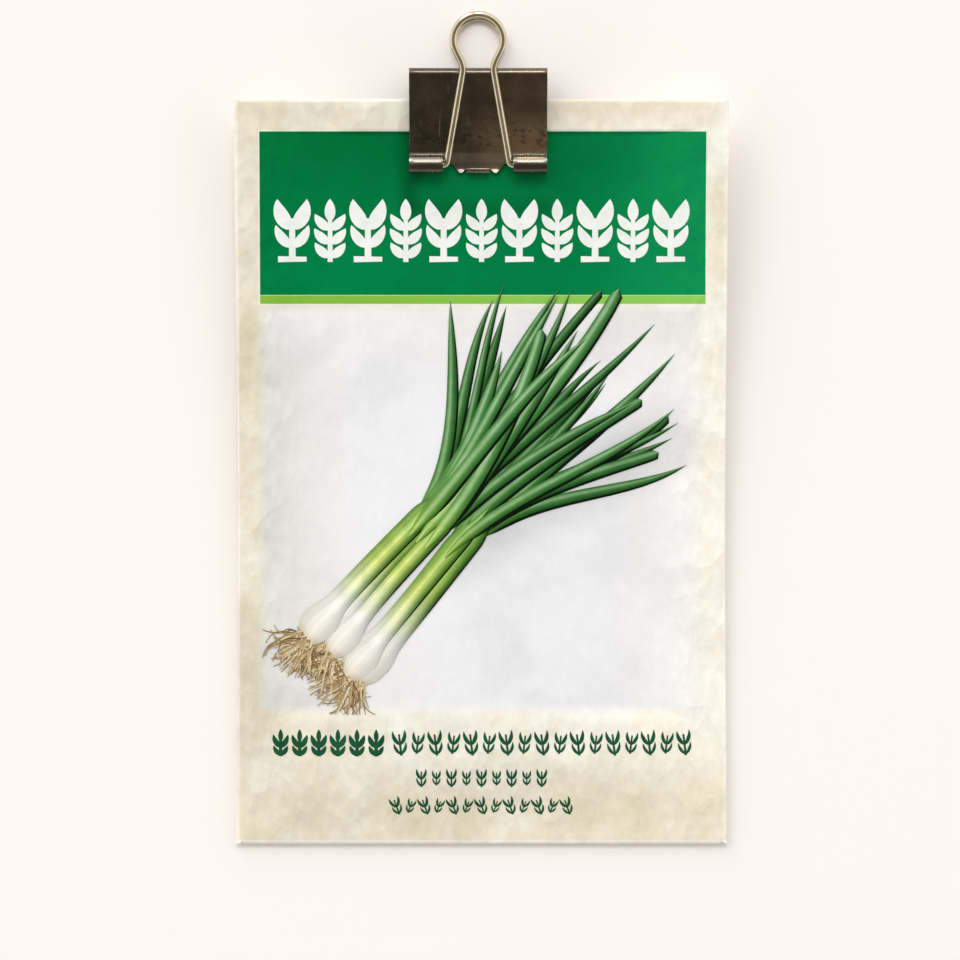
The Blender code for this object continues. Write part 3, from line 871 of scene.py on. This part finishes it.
plants = []
for rank, spots in ((0, (-1.12, -0.5, 0.42, 1.0)), (1, (-0.82, 0.02, 0.8))):
    for across in spots:
        across += draw.uniform(-0.05, 0.05)
        bulb = BULB_LINE + SIDE * across * 6.3 + LEAN * (draw.uniform(-1.2, 1.6) - rank * 0.8)
        neck = NECK + SIDE * across * 4.9 + LEAN * (draw.uniform(-3.5, 3.0) + (1 - rank) * 2.0)
        plants.append((rank, across, bulb, neck))

leaves = []
for rank, across, bulb, neck in plants:
    for j in range(LEAVES):
        aim = 47 + across * 19 + (j - 1.3) * 9.5 + draw.uniform(-4, 4)
        leaves.append((0.3 * rank + draw.random() * 0.9, neck, math.radians(aim), draw.uniform(37, 60)))
leaves.sort(key=lambda one: one[0])

# Every fifth leaf behind the bulbs is cut at its tip, and every fourth in front of them.
onions, roots = drawn(), drawn()
level = 1
for depth, neck, aim, reach in leaves[:-LEAVES_IN_FRONT]:
    widths = leaf_widths(draw.uniform(1.4, 2.3), level % 5 == 2)
    shaded(onions, leaf_points(neck, aim, reach), widths, level, 0.4 + 0.42 * depth, (0.36, 1.0))
    level += 1
for rank, across, bulb, neck in plants:
    base = bulb - LEAN * 4.4
    bow = SIDE * draw.uniform(-1.0, 1.0)
    points = bezier(base, bulb + LEAN * 5 + bow, neck - LEAN * 10 + bow, neck + LEAN * (2 + 4 * rank), STEPS)
    widths = stem_widths(draw.uniform(2.45, 2.8))
    tint = 0.62 + 0.28 * rank + draw.uniform(-0.08, 0.08)
    shaded(onions, points, widths, level, tint, (0.0, 0.45), 8)
    for i in range(ROOTS):
        kind, lift = (FINE, 0.1) if i < FINE_ROOTS else (THICK, 0.5)
        draw_root(roots, base, level + lift + i * 0.008, **kind)
    level += 1
for depth, neck, aim, reach in leaves[-LEAVES_IN_FRONT:]:
    widths = leaf_widths(draw.uniform(1.9, 2.7), level % 4 == 1)
    points = leaf_points(neck, aim, reach)
    shaded(onions, points, widths, level, 0.72 + 0.28 * draw.random(), (0.33, 0.9))
    level += 1
ink_film("printed_onions", onions, ONION_INK)
ink_film("printed_roots", roots, ROOT_INK)
print("the picture has", len(leaves), "leaves and", len(plants), "onions on", level - 1, "levels of ink")

# %% [markdown]
# ## Rows of ornament
# The header and the foot of the packet carry rows of small printed motifs. Each row repeats one
# motif along a line, so it is a job for Geometry Nodes: a line of points, the motif on each point,
# turned and sized by turns, and then made real so that it is ordinary mesh.

# %% A tree of nodes that repeats a motif
MESH_OUT = [("Geometry", "NodeSocketGeometry")]


def make_real(geometry, finish, result):
    """The end of every tree: instances made real, and a material set."""
    real = add_node(geometry.tree, "GeometryNodeRealizeInstances", {0: geometry})[0]
    dressed = add_node(geometry.tree, "GeometryNodeSetMaterial", {"Geometry": real, "Material": finish})
    feed(result, dressed[0])


def run_tree(tree, **values):
    """The mesh that a tree of Geometry Nodes makes with these inputs."""
    holder = in_scene("holder", bpy.data.meshes.new("holder"))
    nodes = holder.modifiers.new("nodes", "NODES")
    nodes.node_group = tree
    for item in tree.interface.items_tree:
        label = item.name.replace(" ", "_")
        if item.in_out == "INPUT" and label in values:
            nodes[item.identifier] = values[label]
    return baked(holder)


def row_tree():
    tree, given, fill = new_group("GeometryNodeTree", "row of motifs", (
        ("Motif", "NodeSocketObject", None),
        ("Count", "NodeSocketInt", 10),
        ("Spacing", "NodeSocketFloat", 6.0),
        ("Size", "NodeSocketFloat", 1.0),
        ("Small Share", "NodeSocketFloat", 0.8),
        ("Tilt", "NodeSocketFloat", 0.0),
        ("Ink", "NodeSocketMaterial", None),
    ), MESH_OUT)

    def triple(*parts):
        return add_node(tree, "ShaderNodeCombineXYZ", dict(enumerate(parts)))[0]

    start = triple((given["Count"] - 1.0) * (given["Spacing"] * -0.5), 0.0, 0.0)
    step = triple(given["Spacing"], 0.0, 0.0)
    inputs = {"Count": given["Count"], "Start Location": start, "Offset": step}
    line = add_node(tree, "GeometryNodeMeshLine", inputs)["Mesh"]
    odd = maths("MODULO", add_node(tree, "GeometryNodeInputIndex", {})[0], 2.0)
    size = given["Size"] * (odd * (given["Small Share"] - 1.0) + 1.0)
    tilt = given["Tilt"] * (1.0 - odd * 2.0)
    motif = add_node(tree, "GeometryNodeObjectInfo", {"Object": given["Motif"]})["Geometry"]
    inputs = {"Points": line, "Instance": motif}
    inputs |= {"Rotation": triple(0.0, 0.0, tilt), "Scale": triple(size, size, 1.0)}
    put = add_node(tree, "GeometryNodeInstanceOnPoints", inputs)["Instances"]
    make_real(put, given["Ink"], fill["Geometry"])
    return tree


ROW = row_tree()
print("a row takes", ", ".join(i.name for i in ROW.interface.items_tree if i.in_out == "INPUT"))


# %% The motifs and their rows
def flat_shape(name, *ribbons):
    """A motif as a flat mesh, from ribbons given as points and widths."""
    store = drawn()
    for order, (points, widths) in enumerate(ribbons):
        ribbon(store, points, widths, order * 0.6, 0.0, across=2)
    data = bpy.data.meshes.new(name)
    data.from_pydata(store["verts"], [], store["faces"])
    return in_scene(name, data)


def stalk(start, end, width):
    """A plain bar from start to end."""
    middle = ((start[0] + end[0]) / 2, (start[1] + end[1]) / 2)
    return [start, middle, end], [width, width * 0.9, width * 0.8]


def leaflet(start, end, width, bulge=0.0, steps=10):
    """A pointed leaf from start to end."""
    start, way = Vector(start), Vector(end) - Vector(start)
    side = Vector((-way.y, way.x)) * bulge
    points = bezier(start, start + way * 0.35 + side, start + way * 0.7 + side, Vector(end), steps)
    shares = [math.sin(math.pi * (i / steps) ** 0.8) for i in range(steps + 1)]
    return points, [max(0.02, width * max(0.0, share) ** 0.8) for share in shares]


def pair(foot, end, width, bulge):
    """Two mirrored leaves that start at a height on the stalk."""
    return [leaflet((0, foot), (side * end[0], end[1]), width, -side * bulge) for side in (1, -1)]


seedling = flat_shape(
    "seedling", stalk((0, -5.6), (0, 2.2), 1.25),
    *pair(0.2, (2.7, 5.7), 2.7, 0.14), *pair(-3.0, (3.0, 1.0), 1.9, 0.14),
    stalk((-2.6, -5.2), (2.6, -5.2), 1.1),
)
branch = flat_shape(
    "branch", stalk((0, -5.7), (0, 3.4), 0.95), leaflet((0, 1.6), (0, 5.75), 2.0),
    *pair(0.2, (2.75, 3.0), 1.75, 0.12), *pair(-2.3, (2.85, 0.4), 1.75, 0.12),
    *pair(-4.8, (2.75, -2.2), 1.7, 0.12),
)
sprig = flat_shape(
    "sprig", stalk((0, -2.3), (0, 1.6), 0.44),
    *pair(-0.4, (1.1, 2.3), 0.72, 0.16), *pair(-2.1, (1.1, 0.1), 0.56, 0.16),
)
bold_sprig = flat_shape(
    "bold_sprig", stalk((0, -2.45), (0, 1.0), 0.7), leaflet((0, 0.2), (0, 2.5), 0.9),
    *pair(-0.9, (1.35, 1.5), 1.0, 0.12), *pair(-2.3, (1.3, -0.5), 0.85, 0.12),
)


def flat_ink(name, low, high):
    """An ink of one colour, a little uneven where it didn't take on the fibres."""
    made, fibres, base = new_ink(name)
    feed(base, blend(spread(fibres["Tone"], 0.3, 0.7), low, high))
    return made


WHITE_INK = flat_ink("white ink", seen(232, 238, 232), seen(246, 249, 244))
GREEN_INK = flat_ink("green ink", seen(18, 74, 46), seen(30, 90, 56))
ROW_LEVEL = 1


def print_row(name, ink, v, motif, count, spacing, middle=0.0, **values):
    """Prints a row of motifs across the packet, centred at v millimetres above its foot."""
    flat = run_tree(ROW, Ink=ink, Motif=motif, Count=count, Spacing=spacing, **values)
    store = drawn()
    store["verts"] = [(p.co.x + middle, p.co.y + v, p.co.z + ROW_LEVEL) for p in flat.vertices]
    store["faces"] = [tuple(f.vertices) for f in flat.polygons]
    store["uvs"] = [(0.0, 0.0)] * len(flat.vertices)
    store["tints"] = [0.0] * len(flat.vertices)
    bpy.data.meshes.remove(flat)
    return ink_film(name, store, ink)


HEADER = 112.26
rows = [
    print_row("header_seedlings", WHITE_INK, HEADER, seedling, 6, 13.8, Small_Share=1.0),
    print_row("header_branches", WHITE_INK, HEADER, branch, 5, 13.8, Small_Share=1.0),
    print_row("foot_bold_sprigs", GREEN_INK, 18.7, bold_sprig, 6, 3.5, -28.0, Small_Share=1.0),
    print_row("foot_sprigs", GREEN_INK, 18.7, sprig, 17, 3.25, 11.1, Tilt=0.12, Small_Share=0.86),
    print_row("foot_small_sprigs", GREEN_INK, 12.3, sprig, 9, 2.75, Size=0.74, Small_Share=0.82),
    print_row("foot_tilted_sprigs", GREEN_INK, 7.1, sprig, 13, 2.6, Size=0.74, Tilt=0.35, Small_Share=0.8),
]
for one in (seedling, branch, sprig, bold_sprig):
    bpy.data.objects.remove(one)
print("rows of ornament:", ", ".join(row.name for row in rows))

# %% [markdown]
# ## The clip's steel
# A binder clip is spring steel with a dark nickel plate and two bright nickel wires. Handling leaves
# hairline scratches and a faint smear of finger grease. Both metals use one group for this wear. The
# dark plate is also warmer and lighter towards its lower right and grimy beside the paper. Its rolls
# have a lighter plate, rubbed and also brightened as a painted highlight, and their undersides are
# darkened as painted shade.

# %% Worn metal
WEAR, read, fill = effect("worn metal", ("Vector", ("Amount", 0.5)), ("Scratches", "Smear", "Height"))
lines = []
for turn, size in ((0.5, 1.0), (-0.9, 0.8), (1.35, 1.3)):
    thin = mottle(stretch(read["Vector"], (2600 * size, 90 * size, 300), turn), 1.0, 1.0)
    lines.append(spread(thin, 0.72, 0.8))
marks = maths("MAXIMUM", lines[0], maths("MAXIMUM", lines[1], lines[2]))
feed(fill["Scratches"], marks * read["Amount"])
feed(fill["Smear"], mottle(read["Vector"], 260.0, 4.0, 0.65))
feed(fill["Height"], mottle(read["Vector"], 5200.0, 1.0) * 0.25 - marks)

DARK, DARK_SMEARED, WARM_TONE = seen(88, 81, 70), seen(103, 95, 82), seen(168, 146, 118)
RUBBED_AND_HIGHLIGHT, GRIME, SCRATCHED = seen(188, 183, 172), seen(52, 47, 40), seen(214, 206, 190)


def aged_and_shaded_plate(colour, place, smear):
    """The dark plate's tone, rubbed rolls with a painted highlight, painted shade under the rolls and grime,
    placed in millimetres from the middle of the room.
    """
    x, y, _ = split(stretch(place, (1000, 1000, 1000)))
    # Warmer and lighter towards the lower right.
    warm = spread(x + (smear - 0.5) * 9.0, -7.0, 9.5) * spread(y, 58.5, 52.5, 0.2, 1.0)
    colour = blend(warm, colour, WARM_TONE)
    # The rolls get a lighter plate: rubbed steel, and a painted highlight that brightens their reflections.
    rolled = spread(abs(x - CLIP_X / MM), 5.7, 6.3, 0.3, 1.0)
    colour = blend(rolled * spread(y, 50.2, 49.8), colour, RUBBED_AND_HIGHLIGHT)
    # The underside of each roll goes back to the dark plate: painted shade.
    colour = blend(rolled * spread(y, 48.5, 48.2, 0.0, 0.95), colour, DARK)
    grime = spread(mottle(stretch(place, (700, 1100, 700)), 1.0, 4.0, 0.65), 0.5, 0.62)
    grime = grime * (spread(y, 58.0, 53.0) * spread(y, 50.6, 51.6))
    return blend(grime * 0.55, colour, GRIME)


def worn_metal(name, dark, light, roughness, amount, aged_and_shaded=None):
    made, tree, shader = new_finish(name, roughness, metallic=1.0)
    place = coordinates(tree)
    wear = use_group(WEAR, Vector=place, Amount=amount)
    colour = blend(spread(wear["Smear"], 0.3, 0.7), dark, light)
    if aged_and_shaded:
        colour = aged_and_shaded(colour, place, wear["Smear"])
    feed(shader["Base Color"], blend(wear["Scratches"], colour, SCRATCHED))
    greased = spread(wear["Smear"], 0.3, 0.75, roughness - 0.05, roughness + 0.08)
    feed(shader["Roughness"], greased + wear["Scratches"] * 0.1)
    feed(shader["Normal"], bumped(wear["Height"], 0.12, 0.00003))
    return made


DARK_NICKEL = worn_metal("dark nickel", DARK, DARK_SMEARED, 0.24, 0.4, aged_and_shaded_plate)
BRIGHT_NICKEL = worn_metal("bright nickel", seen(204, 190, 162), seen(220, 208, 184), 0.14, 0.15)
print("metals:", DARK_NICKEL.name, "and", BRIGHT_NICKEL.name)

# %% [markdown]
# ## The clip's spring
# The spring is one strip of sheet steel, bent round a flat spine. At each jaw the strip is rolled
# into two eyes that hold the wire, and the tongue between them is hemmed and has two small lobes.
# The mesh follows that: a profile swept across the width, with strips that go on at the jaws.

# %% The spring's profile
SIDE_ANGLE, MOUTH_ANGLE = math.radians(15.5), math.radians(10)
SPINE_STEPS, BEND_STEPS, SIDE_WAY_STEPS, EYE_STEPS, HEM_STEPS = 4, 14, 18, 36, 16


def between(low, high, steps):
    """Even steps between two values, both included."""
    return [low + (high - low) * i / steps for i in range(steps + 1)]


def hermite(start, start_way, end, end_way, steps):
    """Points of a smooth curve between two points, leaving and arriving along two unit directions."""
    reach = math.dist(start, end)
    points = []
    for t in between(0, 1, steps):
        mix = 3 * t**2 - 2 * t**3
        leave, arrive = reach * (t**3 - 2 * t**2 + t), reach * (t**3 - t**2)
        points.append(tuple(
            start[k] + (end[k] - start[k]) * mix + leave * start_way[k] + arrive * end_way[k] for k in (0, 1)
        ))
    return points


def side_profile():
    """The strip from the middle of the spine to one eye, as (y, z)."""
    points = [(CLIP_LENGTH - STEEL / 2, CORNER_Z * i / SPINE_STEPS) for i in range(SPINE_STEPS)]
    points += arc((CORNER_Y, CORNER_Z), SPINE_BEND, 0, math.pi / 2 + SIDE_ANGLE, BEND_STEPS)
    roll = EYE_RADIUS - STEEL / 2
    end = (EYE_Y + roll * math.sin(MOUTH_ANGLE), EYE_Z - roll * math.cos(MOUTH_ANGLE))
    away = (-math.cos(SIDE_ANGLE), -math.sin(SIDE_ANGLE))
    into = (-math.cos(MOUTH_ANGLE), -math.sin(MOUTH_ANGLE))
    return points + hermite(points[-1], away, end, into, SIDE_WAY_STEPS)[1:]


def roll_profile(radius, turn, angle, steps):
    """A roll of the strip outwards from the paper."""
    return arc((radius, MOUTH + radius), radius - STEEL / 2, -math.pi / 2 + angle, -turn, steps)


print("from spine to eye the strip has", len(side_profile()), "points")

# %% The spring's sheet
HEM, TONGUE, EYE, LOBE = 2.1 * MM, 4.8 * MM, 6.4 * MM, 3.15 * MM
HEM_RADIUS, LOBE_Y, LOBE_RISE = 0.7 * MM, 0.05 * MM, 0.6 * MM
LIP_WIDTH = 2.0 / 2.7
EYE_TURN, HEM_TURN = math.radians(288), math.radians(205)


def clip_sheet():
    mesh = bmesh.new()
    edge = CLIP_WIDTH / 2
    right = [*between(0, HEM, 3)[1:], *between(HEM, TONGUE, 3)[1:], EYE, *between(EYE, edge, 6)[1:]]
    xs = [-x for x in reversed(right)] + [0.0] + right
    profile = side_profile()
    spine = [mesh.verts.new((x, *profile[0])) for x in xs]

    def skin(rows):
        for low, high in zip(rows, rows[1:]):
            for i in range(len(low) - 1):
                mesh.faces.new((low[i], low[i + 1], high[i + 1], high[i]))

    def span(start, end):
        near = [min(range(len(xs)), key=lambda i: abs(xs[i] - x)) for x in (start, end)]
        return slice(near[0], near[1] + 1)

    for side in (1, -1):
        def across(places, y, z):
            return [mesh.verts.new((x, y, side * z)) for x in places]

        rows = [spine] + [across(xs, y, z) for y, z in profile[1:]]
        skin(rows)
        jaw = rows[-1]
        roll = roll_profile(EYE_RADIUS, EYE_TURN, MOUTH_ANGLE, EYE_STEPS)[1:]
        for part in (span(-edge, -EYE), span(EYE, edge)):
            skin([jaw[part]] + [across(xs[part], y, z) for y, z in roll])

        part = span(-TONGUE, TONGUE)
        hem = roll_profile(HEM_RADIUS, HEM_TURN, MOUTH_ANGLE / 2, HEM_STEPS)
        (y_lip, z_lip), (_, y_jaw, z_jaw) = hem[0], jaw[part][0].co
        z_jaw = abs(z_jaw)
        lip = [jaw[part]]
        for step in (0.5, 1.0):
            thin = 1 + step * (LIP_WIDTH - 1)
            places = [x if abs(x) <= HEM else math.copysign(HEM + (abs(x) - HEM) * thin, x) for x in xs[part]]
            lip.append(across(places, y_jaw + (y_lip - y_jaw) * step, z_jaw + (z_lip - z_jaw) * step))
        skin(lip)
        inner = [i for i, x in enumerate(xs[part]) if abs(x) <= HEM + 1e-6]
        middle = lip[-1][inner[0]:inner[-1] + 1]
        skin([middle] + [across([v.co.x for v in middle], y, z) for y, z in hem[1:]])
        for centre, near in ((-LOBE, lip[-1][:inner[0] + 1]), (LOBE, lip[-1][inner[-1]:])):
            rows = [near]
            for step, rise, wide in ((0.5, 0.22 / 0.6, 0.62), (1.0, 1.0, 0.3)):
                places = [centre + (v.co.x - centre) * wide for v in near]
                z = z_lip + (MOUTH + LOBE_RISE - z_lip) * rise
                rows.append(across(places, y_lip + (LOBE_Y - y_lip) * step, z))
            skin(rows)
    bmesh.ops.recalc_face_normals(mesh, faces=mesh.faces)
    data = bpy.data.meshes.new("clip")
    mesh.to_mesh(data)
    mesh.free()
    return data


clip_at = Vector((CLIP_X, *lay(0, GRIP_AT, MIDDLE)[1:]))
CLIP_PLACE = Matrix.Translation(clip_at) @ Matrix.Rotation(CLIP_SLOPE, 4, "X")
soft_edges = {"width": 0.05 * MM, "segments": 2, "limit_method": "ANGLE", "angle_limit": math.radians(50)}
spring = with_modifiers(clip_sheet(), [
    ("SOLIDIFY", {"thickness": STEEL, "offset": 0, "use_even_offset": True}),
    ("BEVEL", soft_edges),
], angle=40)
spring.transform(CLIP_PLACE)
finish_piece("clip_sheet", spring, [DARK_NICKEL], "packet", ["clip_spring"])
print("the spring has", len(spring.polygons), "faces")

# %% [markdown]
# ## The wire handles
# Each handle is one wire: its ends sit in the two eyes, its legs lean together to a neck, and it ends
# in a loop for the finger. A wire is a round section that follows a path, so Geometry Nodes make it:
# the path comes in as a line of edges, becomes a curve, and a circle is swept along it.

# %% The handles
WIRE_END, LEG, LEG_BEND = 11.7 * MM, 5.6 * MM, 0.8 * MM
WIRE_NECK, NECK_AT, LOOP, LOOP_AT = 2.8 * MM, 17.0 * MM, 4.5 * MM, 22.8 * MM


def handle_path():
    """The right half of the wire, from its end in the eye to the top of the loop, as (x, h)."""
    lean = math.atan2(LEG - WIRE_NECK, NECK_AT - LEG_BEND)
    points = [(WIRE_END, 0.0), ((WIRE_END + LEG) / 2, 0.0)]
    points += arc((LEG + LEG_BEND, LEG_BEND), LEG_BEND, -math.pi / 2, -math.pi / 2 + lean, 12)
    legs = zip(between(LEG, WIRE_NECK, 8), between(LEG_BEND, NECK_AT, 8))
    points += list(legs)[1:-1]
    along = (-math.sin(lean), math.cos(lean))
    points += hermite((WIRE_NECK, NECK_AT), along, (LOOP, LOOP_AT), (0.0, 1.0), 20)
    over, angles = HANDLE_LENGTH - LOOP_AT, between(0, math.pi / 2, 20)[1:]
    return points + [(LOOP * math.cos(a), LOOP_AT + over * math.sin(a)) for a in angles]


def wire_tree():
    tree, given, fill = new_group("GeometryNodeTree", "bent wire", (
        ("Path", "NodeSocketObject", None),
        ("Radius", "NodeSocketFloat", 0.5 * MM),
        ("Sides", "NodeSocketInt", 12),
        ("Metal", "NodeSocketMaterial", None),
    ), MESH_OUT)
    path = add_node(tree, "GeometryNodeObjectInfo", {"Object": given["Path"]})["Geometry"]
    line = add_node(tree, "GeometryNodeMeshToCurve", {"Mesh": path})["Curve"]
    inputs = {"Resolution": given["Sides"], "Radius": given["Radius"]}
    section = add_node(tree, "GeometryNodeCurvePrimitiveCircle", inputs)["Curve"]
    inputs = {"Curve": line, "Profile Curve": section, "Fill Caps": True}
    swept = add_node(tree, "GeometryNodeCurveToMesh", inputs)["Mesh"]
    make_real(swept, given["Metal"], fill["Geometry"])
    return tree


half = handle_path()
points = half + [(-x, h) for x, h in half[-2::-1]]
path = bpy.data.meshes.new("wire path")
path.from_pydata([(x, h, 0.0) for x, h in points], [(i, i + 1) for i in range(len(points) - 1)], [])
path_holder = in_scene("wire path", path)
BENT_WIRE = wire_tree()
for name, side in (("front", 1), ("rear", -1)):
    wire = run_tree(BENT_WIRE, Path=path_holder, Radius=WIRE / 2, Sides=20, Metal=BRIGHT_NICKEL)
    pivot = Matrix.Translation((0, EYE_Y, side * EYE_Z)) @ Matrix.Rotation(side * HANDLE_ANGLE, 4, "X")
    smoothed(wire, 50).transform(CLIP_PLACE @ pivot)
    solid = f"clip_handle_{name}"
    finish_piece(f"wire_{name}", wire, [BRIGHT_NICKEL], f"{name}_handle", [solid])
bpy.data.objects.remove(path_holder)
length = sum(math.dist(a, b) for a, b in zip(points, points[1:]))
print("each handle is", round(length / MM, 1), "mm of wire")

# %% [markdown]
# ## Inside the packet
# The seeds and the glue can't be seen while the packet is shut, but they belong to it. The frame
# already lays the seeds grain by grain, so they keep their shape and get a finish: black and wrinkled.


# %% Seeds and glue
def seed_finish():
    made, tree, shader = new_finish("seed coat", 0.5, specular=0.4)
    wrinkle = mottle(coordinates(tree), 1800.0, 4.0, 0.6)
    feed(shader["Base Color"], blend(wrinkle, seen(16, 16, 18), seen(62, 60, 62)))
    feed(shader["Normal"], bumped(wrinkle, 0.6, 0.0001))
    return made


def glue_finish():
    made, tree, shader = new_finish("dry glue", 0.3, specular=0.5)
    cloud = mottle(coordinates(tree), 240.0, 3.0)
    feed(shader["Base Color"], blend(cloud, seen(222, 214, 186), seen(240, 236, 214)))
    feed(shader["Roughness"], spread(cloud, 0.3, 0.7, 0.22, 0.45))
    return made


inside = {"seeds": seed_finish(), "glue_side_seam": glue_finish(), "glue_bottom_flap": glue_finish()}
for name, finish in inside.items():
    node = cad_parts[name]
    node.data.materials.clear()
    node.data.materials.append(finish)
print("finished inside:", ", ".join(inside))

# %% [markdown]
# ## The table, the light and the camera
# The packet lies on a plain pale table under soft studio light from the upper left, so its shadow
# falls to the right and towards the viewer. The camera looks straight down on it.


# %% The table
def table_finish():
    made, tree, shader = new_finish("pale table", 0.9, specular=0.0)
    tone = mottle(coordinates(tree), 3.0, 2.0)
    feed(shader["Base Color"], blend(tone, (0.935, 0.90, 0.872, 1), (0.945, 0.91, 0.882, 1)))
    return made


bpy.ops.mesh.primitive_plane_add(size=6, location=(0, 0, -0.00002))
table = bpy.context.object
table.name = "table"
table.data.materials.append(table_finish())
print("the table is", round(table.dimensions.x), "m wide")


# %% Lights and camera
def soft_light(name, azimuth, elevation, distance, size, power, colour=(1, 1, 1)):
    """A square studio light that faces the packet. Azimuth 0 is at the clip's end, 90 at the right."""
    lamp = bpy.data.lights.new(name, "AREA")
    lamp.shape, lamp.size, lamp.energy, lamp.color = "SQUARE", size, power, colour
    a, e = math.radians(azimuth), math.radians(elevation)
    way = Vector((math.sin(a) * math.cos(e), math.cos(a) * math.cos(e), math.sin(e)))
    made = in_scene(name, lamp)
    made.location = way * distance
    made.rotation_euler = way.to_track_quat("Z", "Y").to_euler()


soft_light("key", -38, 38, 4.0, 1.9, 24.0, (1.0, 0.99, 0.98))
soft_light("clip strip", 4, 50, 4.0, 1.1, 34.0)
soft_light("low light", -31, 15, 4.0, 1.4, 25.0)


def studio_world():
    """White walls all round, and a dark gap overhead and towards the viewer, which dark metal reflects."""
    world = bpy.data.worlds.new("studio")
    world.use_nodes = True
    tree, gap = world.node_tree, Vector((0.0, -0.5, 0.86)).normalized()
    inputs = {0: coordinates(tree, "Generated"), 1: gap}
    towards = add_node(tree, "ShaderNodeVectorMath", inputs, operation="DOT_PRODUCT")["Value"]
    walls = blend(spread(towards, 0.86, 0.5), (0.25, 0.22, 0.18, 1), (1.22, 1.22, 1.22, 1))
    feed(tree.nodes["Background"].inputs["Color"], walls)
    return world


bpy.context.scene.world = studio_world()

lens = bpy.data.cameras.new("camera")
lens.sensor_width, lens.lens, lens.clip_start = 36.0, 132.7, 0.01
camera = in_scene("camera", lens)
camera.location = (-0.00028, -0.0094, 0.65)
bpy.context.scene.camera = camera
bpy.context.scene.view_settings.view_transform = "Standard"
bpy.context.scene.view_settings.look = "None"
print("camera", round(camera.location.z, 3), "m above the table")
